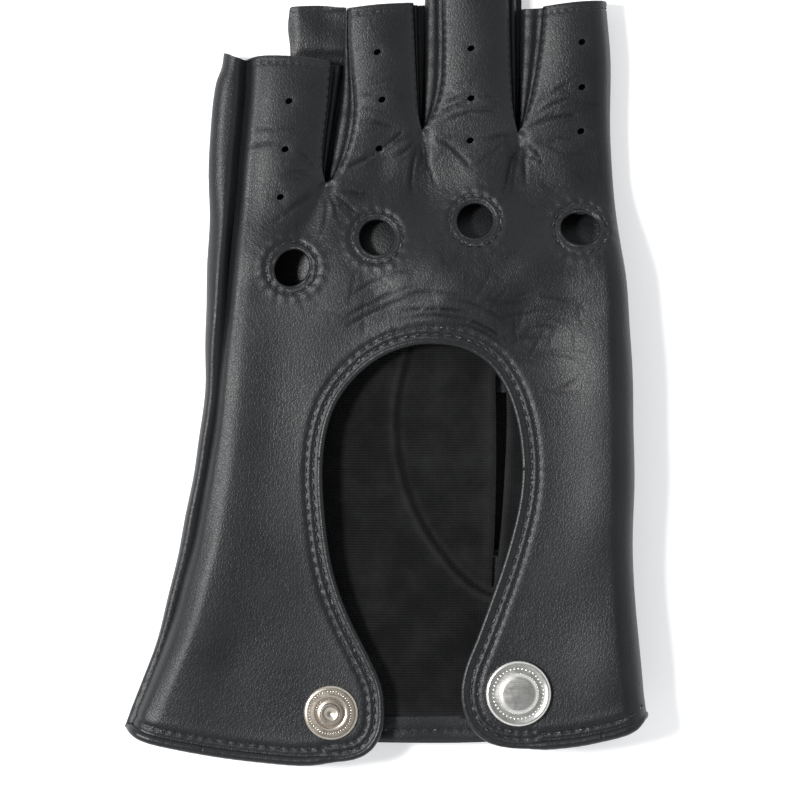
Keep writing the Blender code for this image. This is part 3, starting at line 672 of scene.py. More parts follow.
    def __call__(self, points: np.ndarray) -> np.ndarray:
        """How far the surface is pushed in, negative on a fold's shoulders.

        Args:
            points: Points in plan.

        Returns:
            A depth for each.
        """
        distance, index = self.nearest(points)
        return self.depths[index] * (ridge(distance, 0, self.WIDTH) - 0.25 * ridge(distance, 1.0, 0.55))

    def shade(self, points: np.ndarray) -> np.ndarray:
        """Painted shade: how deep in a fold each plan point is, 0 to -1, which lowers the leather's specular
        there.
        """
        distance, index = self.nearest(points)
        return -np.clip(self.depths[index] * 5.5, 0, 1) * ridge(distance, 0, self.WIDTH)


@dataclass(frozen=True)
class Swell:
    """A broad soft hill, or a hollow where its height is negative."""

    x: float
    y: float
    rx: float
    ry: float
    height: float
    tilt: float = 0.0

    def __call__(self, x: np.ndarray, y: np.ndarray) -> np.ndarray:
        """Height at each place.

        Args:
            x: Distances across the glove.
            y: Distances along it.

        Returns:
            The heights.
        """
        c, s = math.cos(math.radians(self.tilt)), math.sin(math.radians(self.tilt))
        u, v = (x - self.x) * c + (y - self.y) * s, (y - self.y) * c - (x - self.x) * s
        return self.height * np.exp(-((u / self.rx) ** 2) - (v / self.ry) ** 2)


SWELLS = (
    Swell(51.0, -8.0, 8.5, 26.0, 1.7),
    Swell(50.0, -34.0, 8.0, 14.0, 0.9, -14.0),
    Swell(52.0, -68.0, 8.0, 12.0, 1.2),
    Swell(11.0, 18.0, 13.0, 8.5, 1.3, -12.0),
    Swell(34.0, 7.0, 8.0, 9.0, -0.8, 30.0),
    Swell(-37.0, -20.0, 7.5, 52.0, 0.9, -9.0),
    Swell(-52.0, -70.0, 19.0, 26.0, 2.2, -12.0),
    Swell(-19.0, 6.0, 9.0, 12.0, 0.3, 20.0),
    Swell(-36.0, -66.0, 7.0, 12.0, -0.5, -35.0),
    Swell(30.5, 24.0, 8.0, 9.0, 0.7, 10.0),
    Swell(-12.0, 24.0, 6.0, 8.0, 0.5),
    Swell(8.0, 40.0, 7.0, 8.0, -0.5),
    Swell(24.0, 44.0, 6.0, 6.0, 0.5),
    Swell(-24.0, 38.0, 6.0, 12.0, 0.5),
    Swell(40.0, 44.0, 7.0, 9.0, 0.4),
)


class BackRelief:
    """Final height of the back of the glove: form, seams, stitched grooves, holes and wrinkles."""

    CROWN = 1.05
    DIMPLES = 60
    KEYHOLE_ROWS = (1.55, 3.15)
    HEM_ROW = 2.8
    STITCH_PITCH = 2.45

    def __init__(self) -> None:
        self.wrinkles = Wrinkles()
        chance = np.random.default_rng(3).uniform
        self.dimples = [
            Swell(
                chance(-36, 46), chance(6, 52), chance(2.5, 5), chance(3.5, 7), chance(-0.35, 0.35),
                chance(0, 180),
            )
            for _ in range(self.DIMPLES)
        ]
        self.edge_line = keyhole_line()
        seams = [spline(f.left, 0.4) for f in FINGERS if f.left]
        seams += [spline(f.right, 0.4) for f in FINGERS if f.right]
        self.finger_seams = Nearest(np.vstack(seams))
        self.free_edge = Nearest(self.edge_line)
        ys = np.linspace(-92, 74, 400)
        self.side_seam = Nearest(np.column_stack([FORM.edge("seam", ys), ys]))
        self.fork_points = np.array([[f.x, f.y] for f in FORKS])

    def rolled(self, x: np.ndarray, y: np.ndarray) -> np.ndarray:
        """Form height with the little-finger side rolled down."""
        away = np.clip(x - FORM.edge("seam", y), 0, None)
        return FORM.top(x, y) - FORM.shoulder(away, y)

    def form_edge(self, points: list, y: np.ndarray, outline: str) -> np.ndarray:
        """X of a finger's edge, or of the glove's outline where the finger has no cut edge there.

        Args:
            points: The finger's cut edge, or nothing.
            y: Distances along the glove.
            outline: Outline to follow instead: left, seam or right.

        Returns:
            X for each y.
        """
        if not points:
            return FORM.edge(outline, y)
        line = spline(points, 0.5)
        return np.interp(y, line[:, 1], line[:, 0])

    def crowns(self, x: np.ndarray, y: np.ndarray) -> np.ndarray:
        """Roundness of the fingers, and the valleys that run from the forks down the hand.

        Args:
            x: Across the glove.
            y: Along it.

        Returns:
            Heights over the form.
        """
        lift = np.zeros_like(x)
        for shape, start in zip(FINGERS, (32, 46, 46, 46)):
            left = self.form_edge(shape.left, y, "seam")
            right = self.form_edge(shape.right, y, "right")
            s = np.clip((x - (left + right) / 2) / ((right - left) / 2), -1, 1)
            lift += self.CROWN * (1 - s**2) * smooth((y - start) / 18)
        for fork in FORKS:
            down = fork.y - y
            run = fork.x + fork.lean * np.clip(down, 0, 30) - x
            width = 1.5 + 0.16 * np.clip(down, 0, 30)
            fade = np.exp(-np.clip(down, 0, None) / fork.reach) * smooth((down + 1.0) / 1.6)
            lift -= fork.depth * ridge(run, 0, width) * fade
        return lift

    def swell(self, x: np.ndarray, y: np.ndarray) -> np.ndarray:
        """Slow unevenness of a soft, empty glove.

        Args:
            x: Across the glove.
            y: Along it.

        Returns:
            Heights over the form.
        """
        wave = 0.30 * np.sin(x / 15.0 + 0.8) * np.cos(y / 21.0 - 0.4)
        wave += 0.20 * np.sin(x / 8.5 - y / 13.0 + 1.9)
        wave += 0.12 * np.sin(x / 4.9 + y / 6.1) * np.cos(y / 9.0 - x / 17.0)
        wave += sum(hill(x, y) for hill in SWELLS) + sum(hill(x, y) for hill in self.dimples)
        return wave * smooth((x - FORM.edge("seam", y)) / 7) * (0.45 + 0.55 * smooth((y + 95) / 60))

    def seams(self, points: np.ndarray) -> np.ndarray:
        """Groove of the side seam, and rolled edges of the fingers.

        Args:
            points: Points in plan.

        Returns:
            A depth for each.
        """
        near, _ = self.side_seam(points)
        depth = 1.25 * ridge(near, 0, 0.85) - 0.35 * ridge(near, 2.2, 1.3)
        near, _ = self.finger_seams(points)
        fork = np.min(np.linalg.norm(points[:, None] - self.fork_points[None], axis=2), axis=1)
        ease = 0.35 + 0.65 * smooth(fork / 6)
        share = np.clip(near / 0.9, 0, 1)
        return depth + 0.8 * (1 - np.sqrt(1 - (1 - share) ** 2)) * ease

    def edge_stitching(self, points: np.ndarray) -> np.ndarray:
        """Puckers and grooves along the keyhole and the hems.

        Args:
            points: Points in plan.

        Returns:
            A height for each.
        """
        near, index = self.free_edge(points)
        pucker = 1 + 0.35 * np.sin(index * 0.55 * math.tau / self.STITCH_PITCH)
        spot = self.edge_line[index]
        hem = smooth((-13.0 - spot[:, 0]) / 3) + smooth((spot[:, 0] - 33.0) / 3)
        hem *= spot[:, 1] < -78
        inner, outer = self.KEYHOLE_ROWS
        first = inner + (self.HEM_ROW - inner) * hem
        corner = 1 - smooth((points[:, 0] - 52.5) / 4)
        z = -0.45 * ridge(near, first, 0.34) * pucker * corner
        z -= 0.28 * ridge(near, outer, 0.5) * pucker * (1 - hem)
        z += (0.18 * ridge(near, 2.35, 0.45) + 0.04 * ridge(near, 4.6, 1.1)) * (1 - hem)
        return z + (0.15 * ridge(near, 4.4, 0.9) - 0.3 * ridge(near, 1.3, 0.35)) * hem * corner

    def hole_stitching(self, points: np.ndarray) -> np.ndarray:
        """Rims and puckered rings of the knuckle holes.

        Args:
            points: Points in plan.

        Returns:
            A height for each.
        """
        z = np.zeros(len(points))
        for hole in KNUCKLES:
            a, b = points[:, 0] - hole.x, points[:, 1] - hole.y
            r = np.hypot(a, b) - (hole.rx + hole.ry) / 2
            turn = np.arctan2(b, a)
            z -= 0.24 * ridge(r, 1.45, 0.42) * (1 + 0.5 * np.sin(turn * 17))
            z += 0.22 * ridge(r, 0.55, 0.5) - 0.5 * ridge(r, 0, 0.28)
            z += 0.12 * ridge(r, 2.7, 0.9) * (1 + 0.6 * np.sin(turn * 17 + 1.5))
        return z

    def finger_ends(self, x: np.ndarray, y: np.ndarray) -> np.ndarray:
        """Sewn finger ends, and dents round the perforations.

        Args:
            x: Across the glove.
            y: Along it.

        Returns:
            Depths under the form.
        """
        depth = np.zeros_like(x)
        for shape in FINGERS:
            tip = spline(list(TIPS[shape.name]), 1.0)
            if shape.name == "index":
                tip = np.vstack([tip, [60, 84.5]])
            down = np.interp(x, tip[:, 0], tip[:, 1]) - y
            mine = (x > tip[0, 0] - 2.5) & (x < tip[-1, 0] + 2.5) & (down < 6)
            pucker = 1 + 0.4 * np.sin(x * math.tau / 1.7)
            depth[mine] += (0.2 * ridge(down, 1.5, 0.35) * pucker - 0.12 * ridge(down, 0.6, 0.4))[mine]
            for hx, hy in shape.holes:
                depth += 0.12 * ridge(np.hypot(x - hx, y - hy), 0, 1.1)
        return depth

    def __call__(self, points: np.ndarray) -> np.ndarray:
        """Height of the outer surface.

        Args:
            points: Points in plan.

        Returns:
            A height for each, in millimetres.
        """
        x, y = points[:, 0], points[:, 1]
        z = self.rolled(x, y) + self.crowns(x, y) + self.swell(x, y) - self.wrinkles(points)
        z += self.edge_stitching(points) + self.hole_stitching(points)
        return z - self.seams(points) - self.finger_ends(x, y)


BACK = BackRelief()

# ------------------------------------------------------------------ sheets and meshes


@dataclass
class Cut:
    """A flat cut of leather or cloth, as triangles in its own flat frame."""

    points: np.ndarray
    faces: np.ndarray

    @classmethod
    def make(cls, outline: np.ndarray, holes: tuple = (), lines: tuple = (), step: float = 0.8) -> "Cut":
        """Triangulate an outline evenly, with edges along its holes and lines.

        Args:
            outline: Closed outline, anticlockwise.
            holes: Closed outlines to leave open.
            lines: Open lines that edges follow.
            step: Size of the triangles.

        Returns:
            The cut.
        """
        points, edges = [], []
        for line, closed in [(outline, True)] + [(h, True) for h in holes] + [(l, False) for l in lines]:
            first, count = len(points), len(line)
            points.extend(line)
            edges += [(first + i, first + (i + 1) % count) for i in range(count if closed else count - 1)]
        low, high = np.min(outline, axis=0), np.max(outline, axis=0)
        rows = np.arange(low[1], high[1], step * 0.866)
        columns = np.arange(low[0], high[0], step)
        grid = np.array([(x + step / 2 * (i % 2), y) for i, y in enumerate(rows) for x in columns])
        grid = grid[inside(grid, outline)]
        for hole in holes:
            grid = grid[~inside(grid, hole)]
        near, _ = Nearest(np.array(points))(grid)
        grid = grid[near > 0.6 * step]
        everything = [Vector(p) for p in points] + [Vector(p) for p in grid]
        made = delaunay_2d_cdt(everything, edges, [], 0, 1e-5)
        corners, faces = np.array([v[:] for v in made[0]]), np.array([f for f in made[2]])
        centres = corners[faces].mean(axis=1)
        keep = inside(centres, outline)
        for hole in holes:
            keep &= ~inside(centres, hole)
        return cls(corners, faces[keep])

    def rim(self) -> np.ndarray:
        """Directed edges that only one triangle uses.

        Returns:
            Pairs of corner numbers.
        """
        pairs = np.vstack([self.faces[:, [0, 1]], self.faces[:, [1, 2]], self.faces[:, [2, 0]]])
        names = pairs.min(axis=1) * len(self.points) + pairs.max(axis=1)
        _, first, count = np.unique(names, return_index=True, return_counts=True)
        return pairs[first[count == 1]]


def corner_normals(points: np.ndarray, faces: np.ndarray) -> np.ndarray:
    """Smooth normals at the corners of triangles.

    Args:
        points: The corners.
        faces: Corner numbers of each triangle.

    Returns:
        A unit normal for each corner.
    """
    a, b, c = (points[faces[:, k]] for k in range(3))
    flat = np.cross(b - a, c - a)
    normals = np.zeros_like(points)
    for k in range(3):
        np.add.at(normals, faces[:, k], flat)
    return normals / (np.linalg.norm(normals, axis=1)[:, None] + 1e-12)


def make_piece(
    name: str, points: np.ndarray, faces: list, material: Material, normals: np.ndarray | None = None,
    rest: np.ndarray | None = None, wear: np.ndarray | float = 0.0,
) -> Piece:
    """An object from corners in millimetres.

    Args:
        name: Name of the piece.
        points: Corners.
        faces: Corner numbers of each face.
        material: Finish of the piece.
        normals: Normal at each corner, where the shading runs on past the piece.
        rest: Place of each corner in the flat leather, in millimetres, which its grain follows.
        wear: How rubbed each corner is, with a painted edge highlight, up to 1, or how deep in painted fold
            shade, down to -1.

    Returns:
        The object, in the scene.
    """
    mesh = bpy.data.meshes.new(name)
    mesh.from_pydata((np.asarray(points) * MM).tolist(), [], [list(map(int, f)) for f in faces])
    rest = points if rest is None else rest
    attribute = mesh.attributes.new("rest", "FLOAT_VECTOR", "POINT")
    attribute.data.foreach_set("vector", (np.asarray(rest, np.float32) * MM).ravel())
    attribute = mesh.attributes.new("wear", "FLOAT", "POINT")
    attribute.data.foreach_set("value", np.array(np.broadcast_to(wear, len(points)), np.float32))
    mesh.shade_smooth()
    if normals is not None:
        mesh.normals_split_custom_set_from_vertices(normals.tolist())
    mesh.materials.append(material)
    made = bpy.data.objects.new(name, mesh)
    bpy.context.scene.collection.objects.link(made)
    return made


class Skin:
    """A sheet laid over a form: outer skin, inner skin and the cut edge between them."""

    EDGE_WEAR = 1.6

    def __init__(self, cut: Cut, outer: np.ndarray, thickness: float, faces_down: bool = False) -> None:
        self.cut = cut
        self.faces = cut.faces[:, ::-1] if faces_down else cut.faces
        self.outer = outer
        self.normals = corner_normals(outer, self.faces)
        self.inner = outer - self.normals * thickness
        self.shade = np.zeros(len(outer))
        rim = cut.rim()
        self.rim = rim[:, ::-1] if faces_down else rim

    def wear(self) -> np.ndarray:
        """How rubbed the leather is, with a painted highlight along its edges: most at its edges."""
        near, _ = Nearest(self.cut.points[np.unique(self.rim)])(self.cut.points)
        return np.exp(-near / self.EDGE_WEAR)

    def piece(self, name: str, material: Material, chosen: np.ndarray | None = None) -> Piece:
        """Make an object of some of the triangles.

        Args:
            name: Its name.
            material: Its finish.
            chosen: Mask of the triangles, or None for all.

        Returns:
            The object.
        """
        chosen = np.ones(len(self.faces), bool) if chosen is None else chosen
        faces = self.faces[chosen]
        used = np.zeros(len(self.outer), bool)
        used[faces.ravel()] = True
        place = np.full(len(self.outer), -1)
        place[used] = np.arange(used.sum())
        count = int(used.sum())
        edges = set()
        for a, b, c in faces:
            edges.update(((a, b), (b, c), (c, a)))
        rim = np.array([e for e in self.rim if (e[0], e[1]) in edges]).reshape(-1, 2)
        side = np.zeros_like(self.outer)
        for a, b in rim:
            out = np.cross(self.outer[b] - self.outer[a], self.normals[a])
            side[a] += out
            side[b] += out
        around = np.unique(rim)
        spot = {int(v): i for i, v in enumerate(around)}
        flat = np.column_stack([self.cut.points, np.zeros(len(self.outer))])
        points = np.vstack([self.outer[used], self.inner[used], self.outer[around], self.inner[around]])
        normals = np.vstack([self.normals[used], -self.normals[used], side[around], side[around]])
        normals /= np.linalg.norm(normals, axis=1)[:, None] + 1e-12
        rest = np.vstack([flat[used], flat[used] - (0, 0, 5), flat[around], flat[around] - (0, 0, 1)])
        # Edge rubbing with its painted edge highlight, plus the painted shade of the folds.
        wear = self.wear() + self.shade
        wear = np.concatenate([wear[used], wear[used] * 0, wear[around], wear[around]])
        skin = place[faces]
        quads, last, more = [], 2 * count, len(around)
        for a, b in rim:
            i, j = last + spot[int(a)], last + spot[int(b)]
            quads.append((i, i + more, j + more, j))
        faces = [*skin, *(skin[:, ::-1] + count), *quads]
        return make_piece(name, points, faces, material, normals, rest, wear)


def sweep(
    line: np.ndarray, half_width: float | np.ndarray, half_height: float | np.ndarray, sides: int,
    closed: bool = False,
) -> tuple[np.ndarray, list, np.ndarray]:
    """An oval tube along a line.

    Args:
        line: Centre line.
        half_width: Half width across the line, in plan.
        half_height: Half height.
        sides: Corners round the tube.
        closed: Whether the line is a closed loop.

    Returns:
        Corners, faces and each corner's place along and round the tube.
    """
    count = len(line)
    ahead = np.roll(line, -1, axis=0) - np.roll(line, 1, axis=0)
    if not closed:
        ahead[0], ahead[-1] = line[1] - line[0], line[-1] - line[-2]
    ahead /= np.linalg.norm(ahead, axis=1)[:, None] + 1e-12
    side = np.cross([0.0, 0.0, 1.0], ahead)
    side /= np.linalg.norm(side, axis=1)[:, None] + 1e-12
    over = np.cross(ahead, side)
    a = np.arange(sides) * math.tau / sides
    width = np.broadcast_to(half_width, count)[:, None, None]
    height = np.broadcast_to(half_height, count)[:, None, None]
    across = side[:, None] * np.cos(a)[None, :, None] * width
    rings = line[:, None] + across + over[:, None] * np.sin(a)[None, :, None] * height
    run = np.concatenate([[0], np.cumsum(np.linalg.norm(np.diff(line, axis=0), axis=1))])
    rest = np.stack(np.broadcast_arrays(run[:, None], a[None] * 0.7, np.zeros((1, 1))), axis=2)
    faces = []
    for i in range(count if closed else count - 1):
        j = (i + 1) % count
        for k in range(sides):
            m = (k + 1) % sides
            faces.append((i * sides + k, j * sides + k, j * sides + m, i * sides + m))
    if not closed:
        faces.append(tuple(range(sides)))
        faces.append(tuple(range(count * sides - 1, (count - 1) * sides - 1, -1)))
    return rings.reshape(-1, 3), faces, rest.reshape(-1, 3)


def lathe(profile: list, segments: int = 96) -> tuple[np.ndarray, list]:
    """A turned shape.

    Args:
        profile: Pairs of radius and height, from the top middle outwards and down.
        segments: Corners round the axis.

    Returns:
        Corners and faces.
    """
    p = np.array(profile, float)
    a = np.arange(segments) * math.tau / segments
    points = np.stack([
        np.outer(p[:, 0], np.cos(a)), np.outer(p[:, 0], np.sin(a)), np.repeat(p[:, 1:2], segments, axis=1),
    ], axis=2).reshape(-1, 3)
    faces = []
    for i in range(len(p) - 1):
        for k in range(segments):
            m = (k + 1) % segments
            faces.append((i * segments + k, (i + 1) * segments + k, (i + 1) * segments + m, i * segments + m))
    return points, faces


# ------------------------------------------------------------------ finishes


class Nodes:
    """A material's node tree, with short ways to add and join nodes."""

    def __init__(self, name: str) -> None:
        self.material = bpy.data.materials.new(name)
        self.material.use_nodes = True
        self.tree = self.material.node_tree
        self.tree.nodes.clear()
        self.surface = self.add("ShaderNodeBsdfPrincipled")
        output = self.add("ShaderNodeOutputMaterial")
        self.join(self.surface.outputs[0], output.inputs[0])

    def add(self, kind: str, **values: object) -> bpy.types.Node:
        """Add a node.

        Args:
            kind: Its type.
            values: Its properties.

        Returns:
            The node.
        """
        node = self.tree.nodes.new(kind)
        for key, value in values.items():
            setattr(node, key, value)
        return node

    def join(self, a: Socket, b: Socket) -> None:
        """Connect two sockets."""
        self.tree.links.new(a, b)

    def connect(self, value: Socket, name: str) -> None:
        """Connect a value to one of the surface's own sockets."""
        self.join(value, self.surface.inputs[name])

    def give(self, **values: object) -> None:
        """Set plain values on the surface's own sockets, with _ for a space in their names."""
        for key, value in values.items():
            self.surface.inputs[key.replace("_", " ")].default_value = value

    def wear(self) -> Socket:
        """How rubbed the surface is, with a painted edge highlight, up to 1, or how deep in painted fold
        shade, down to -1.
        """
        return self.add("ShaderNodeAttribute", attribute_name="wear").outputs["Fac"]

    def place(self, scale: tuple | float = 1000.0) -> Socket:
        """Place in the flat leather.

        Args:
            scale: Steps in a metre: with 1000, the place is in millimetres.

        Returns:
            The place.
        """
        rest = self.add("ShaderNodeAttribute", attribute_name="rest")
        mapping = self.add("ShaderNodeMapping")
        mapping.inputs["Scale"].default_value = (scale,) * 3 if isinstance(scale, float) else scale
        self.join(rest.outputs["Vector"], mapping.inputs["Vector"])
        return mapping.outputs["Vector"]

    def noise(self, where: Socket, scale: float, detail: float = 4.0, rough: float = 0.55) -> Socket:
        """Noise.

        Args:
            where: Place in the leather.
            scale: Size of the pattern, larger for a finer one.
            detail: Number of finer layers.
            rough: Strength of the finer layers.

        Returns:
            A value from 0 to 1.
        """
        node = self.add("ShaderNodeTexNoise")
        node.inputs["Scale"].default_value = scale
        node.inputs["Detail"].default_value = detail
        node.inputs["Roughness"].default_value = rough
        self.join(where, node.inputs["Vector"])
        return node.outputs["Fac"]

    def remap(self, value: Socket, low: float, high: float, to_low: float, to_high: float) -> Socket:
        """Move a value from one range to another.

        Args:
            value: The value.
            low: Start of its range.
            high: End of its range.
            to_low: Start of the new range.
            to_high: End of the new range.

        Returns:
            The new value.
        """
        node = self.add("ShaderNodeMapRange")
        for k, number in enumerate((low, high, to_low, to_high), 1):
            node.inputs[k].default_value = number
        self.join(value, node.inputs[0])
        return node.outputs[0]

    def math(self, operation: str, a: Socket | float, b: Socket | float) -> Socket:
        """Arithmetic on two values.

        Args:
            operation: What to do with them.
            a: First value.
            b: Second value.

        Returns:
            The result.
        """
        node = self.add("ShaderNodeMath", operation=operation)
        for socket, value in zip(node.inputs, (a, b)):
            if isinstance(value, (int, float)):
                socket.default_value = value
            else:
                self.join(value, socket)
        return node.outputs[0]

    def mix(self, share: Socket, a: tuple, b: tuple) -> Socket:
        """A colour between two colours.

        Args:
            share: 0 for the first colour, 1 for the second.
            a: First colour.
            b: Second colour.

        Returns:
            The colour.
        """
        node = self.add("ShaderNodeMix", data_type="RGBA")
        node.inputs[6].default_value = (*a, 1)
        node.inputs[7].default_value = (*b, 1)
        self.join(share, node.inputs[0])
        return node.outputs[2]

    def bump(self, height: Socket, distance: float) -> None:
        """Raise the surface.

        Args:
            height: Pattern to raise it by.
            distance: Height of the pattern where it is 1, in millimetres.
        """
        node = self.add("ShaderNodeBump")
        node.inputs["Strength"].default_value = 1.0
        node.inputs["Distance"].default_value = distance * MM
        self.join(height, node.inputs["Height"])
        self.join(node.outputs[0], self.surface.inputs["Normal"])


@dataclass(frozen=True)
class GrainedLeather:
    """Smooth dyed leather with a fine pebbled grain."""

    name: str
    dark: tuple = (0.0042, 0.0046, 0.0058)
    light: tuple = (0.0075, 0.0080, 0.0096)
    # Paler colour of rubbed edges: wear together with a painted edge highlight.
    rubbed_and_highlight: tuple = (0.04, 0.04, 0.042)
    rough_low: float = 0.34
    rough_high: float = 0.50
    grain: float = 0.7  # cell size
    relief: float = 0.04
    specular: float = 0.4
    # Specular in folds, lowered as painted shade in the creases.
    specular_in_fold_shade: float = 0.06

    def build(self) -> Material:
        """Make the material."""
        n = Nodes(self.name)
        where = n.place()
        cells = n.add("ShaderNodeTexVoronoi", feature="DISTANCE_TO_EDGE")
        cells.inputs["Scale"].default_value = 1 / self.grain
        warp = n.add("ShaderNodeVectorMath", operation="MULTIPLY_ADD")
        wobble = n.add("ShaderNodeTexNoise")
        wobble.inputs["Scale"].default_value = 0.9
        n.join(where, wobble.inputs["Vector"])
        n.join(wobble.outputs["Color"], warp.inputs[0])
        warp.inputs[1].default_value = (0.9, 0.9, 0.9)
        n.join(where, warp.inputs[2])
        n.join(warp.outputs[0], cells.inputs["Vector"])
        pebble = n.remap(cells.outputs["Distance"], 0.0, 0.22, 0.0, 1.0)
        fine = n.noise(where, 3.2, 3.0, 0.6)
        broad = n.noise(where, 0.055, 3.0, 0.5)
        wear = n.wear()
        height = n.math("ADD", n.math("MULTIPLY", pebble, 0.55), n.math("MULTIPLY", fine, 0.75))
        height = n.math("ADD", height, n.math("MULTIPLY", n.noise(where, 0.42, 4.0, 0.6), 0.9))
        n.bump(height, self.relief)
        base = n.mix(n.remap(broad, 0.3, 0.7, 0.0, 1.0), self.dark, self.light)
        # Rubbed edges are mixed paler: wear together with a painted edge highlight.
        rubbed_and_highlight_mix = n.add("ShaderNodeMix", data_type="RGBA")
        rubbed_and_highlight_mix.inputs[7].default_value = (*self.rubbed_and_highlight, 1)
        n.join(n.math("MULTIPLY", wear, n.remap(fine, 0.35, 0.75, 0.0, 0.55)), rubbed_and_highlight_mix.inputs[0])
        n.join(base, rubbed_and_highlight_mix.inputs[6])
        n.connect(rubbed_and_highlight_mix.outputs[2], "Base Color")
        both = n.math("ADD", n.math("MULTIPLY", fine, 0.5), n.math("MULTIPLY", broad, 0.5))
        n.connect(n.remap(both, 0.3, 0.7, self.rough_low, self.rough_high), "Roughness")
        n.give(Specular_IOR_Level=self.specular)
        # Specular drops in folds: painted shade along the creases.
        n.connect(n.remap(wear, -1.0, 0.0, self.specular_in_fold_shade, self.specular), "Specular IOR Level")
        return n.material


@dataclass(frozen=True)
class Knit:
    """Fine dark jersey with ribs across."""

    name: str
    dark: tuple = (0.002, 0.002, 0.0021)
    light: tuple = (0.020, 0.020, 0.0205)
    rib: float = 0.62
    wale: float = 0.55

    def build(self) -> Material:
        """Make the material."""
        n = Nodes(self.name)
        where = n.place()
        ribs = n.add("ShaderNodeTexWave", bands_direction="Y", wave_profile="SIN")
        ribs.inputs["Scale"].default_value = 0.314 / self.rib
        ribs.inputs["Distortion"].default_value = 0.6
        wales = n.add("ShaderNodeTexWave", bands_direction="X", wave_profile="SIN")
        wales.inputs["Scale"].default_value = 0.314 / self.wale
        wales.inputs["Distortion"].default_value = 0.6
        n.join(where, ribs.inputs["Vector"])
        n.join(where, wales.inputs["Vector"])
        fuzz = n.noise(where, 2.5, 4.0, 0.7)
        loops = n.math("MULTIPLY", ribs.outputs["Fac"], n.remap(wales.outputs["Fac"], 0, 1, 0.55, 1))
        height = n.math("ADD", loops, n.math("MULTIPLY", fuzz, 0.7))
        n.bump(height, 0.22)
        broad = n.remap(n.noise(where, 0.12, 4.0, 0.6), 0.3, 0.7, -0.3, 0.3)
        share = n.math("ADD", n.math("MULTIPLY", loops, fuzz), broad)
        # The wear attribute paints the jersey: painted shade in the thumb's seam, painted highlight on the
        # ridges beside it, lighter over the thumb, and paler rubbed edges with a painted edge highlight.
        share = n.math("ADD", share, n.math("MULTIPLY", n.wear(), 0.7))
        n.connect(n.mix(share, self.dark, self.light), "Base Color")
        n.give(Roughness=0.95, Specular_IOR_Level=0.18, Sheen_Weight=0.03, Sheen_Roughness=0.6)
        return n.material


@dataclass(frozen=True)
class Thread:
    """Dark waxed sewing thread with paler flecks, which are painted glints where the thread catches the light.
    """

    name: str
    dark: tuple = (0.012, 0.012, 0.014)
    pale: tuple = (0.22, 0.22, 0.23)
    share: float = 0.66

    def build(self) -> Material:
        """Make the material."""
        n = Nodes(self.name)
        where = n.place()
        # The paler flecks are painted glints on the dark thread.
        painted_glint_share = n.remap(n.noise(where, 1.1, 2.0, 0.6), self.share - 0.06, self.share + 0.08, 0.0, 1.0)
        n.connect(n.mix(painted_glint_share, self.dark, self.pale), "Base Color")
        n.bump(n.noise(where, 5.0, 2.0), 0.05)
        n.give(Roughness=0.6)
        return n.material


@dataclass(frozen=True)
class PlatedMetal:
    """Plated metal with fine scratches and a little tarnish."""

    name: str
    bright: tuple = (0.80, 0.76, 0.70)
    dull: tuple = (0.42, 0.39, 0.35)
    rough_low: float = 0.16
    rough_high: float = 0.36

    def build(self) -> Material:
        """Make the material."""
        n = Nodes(self.name)
        where = n.place()
        tarnish = n.noise(where, 0.5, 5.0, 0.65)
        scratch = n.noise(n.place((300.0, 6000.0, 3000.0)), 1.0, 4.0, 0.6)
        n.connect(n.mix(n.remap(tarnish, 0.5, 0.85, 0.0, 0.8), self.bright, self.dull), "Base Color")
        both = n.math("ADD", n.math("MULTIPLY", tarnish, 0.6), n.math("MULTIPLY", scratch, 0.4))
        n.connect(n.remap(both, 0.3, 0.75, self.rough_low, self.rough_high), "Roughness")
        n.bump(n.math("ADD", scratch, tarnish), 0.012)
        n.give(Metallic=1.0)
        return n.material


BINDING = GrainedLeather("binding_leather", rough_low=0.3, rough_high=0.44, grain=0.5, relief=0.025)
FACING = GrainedLeather(
    "facing_leather", dark=(0.02, 0.02, 0.021), light=(0.03, 0.03, 0.031), rough_low=0.6, rough_high=0.8,
)
NICKEL = PlatedMetal("warm_nickel", bright=(0.62, 0.55, 0.47), dull=(0.30, 0.26, 0.22))
SILVER = PlatedMetal("bright_nickel", bright=(0.88, 0.86, 0.82), dull=(0.52, 0.5, 0.46))
STEEL = PlatedMetal("spring_steel", bright=(0.55, 0.56, 0.58), dull=(0.3, 0.3, 0.31))


class Finishes:
    """Every finish of the glove."""

    def __init__(self) -> None:
        self.leather = GrainedLeather("black_leather").build()
        self.binding = BINDING.build()
        self.facing = FACING.build()
        self.knit = Knit("lining_jersey").build()
        self.thread = Thread("dark_thread").build()
        self.nickel = NICKEL.build()
        self.silver = SILVER.build()
        self.steel = STEEL.build()


# ------------------------------------------------------------------ leather of the hand, flaps and fingers


def join_lines(*lines: np.ndarray) -> np.ndarray:
    """One closed outline from lines that follow each other, without repeated corners.

    Args:
        lines: The lines, in order.

    Returns:
        The outline.
    """
    whole = np.vstack([np.asarray(l, float) for l in lines])
    step = np.linalg.norm(whole - np.roll(whole, 1, axis=0), axis=1)
    return whole[step > 0.06]


def finger(name: str) -> FingerShape:
    """The finger of that name."""
    return next(f for f in FINGERS if f.name == name)


def tip_line(name: str) -> np.ndarray:
    """The cut end of a finger, from left to right."""
    return spline(list(TIPS[name]), 0.5)


def split(skin: Skin, part: np.ndarray, nodes: dict, finish: Material) -> dict:
    """Make one piece of a panel for each body that carries some of it.

    Args:
        skin: The panel.
        part: Number of the body of each triangle.
        nodes: Node of each body's piece.
        finish: Finish of the panel.

    Returns:
        The pieces by body.
    """
    made = {}
    for body, node in nodes.items():
        made[body] = settle(skin.piece("leather_" + node, finish, part == body.number), body, node)
    return made


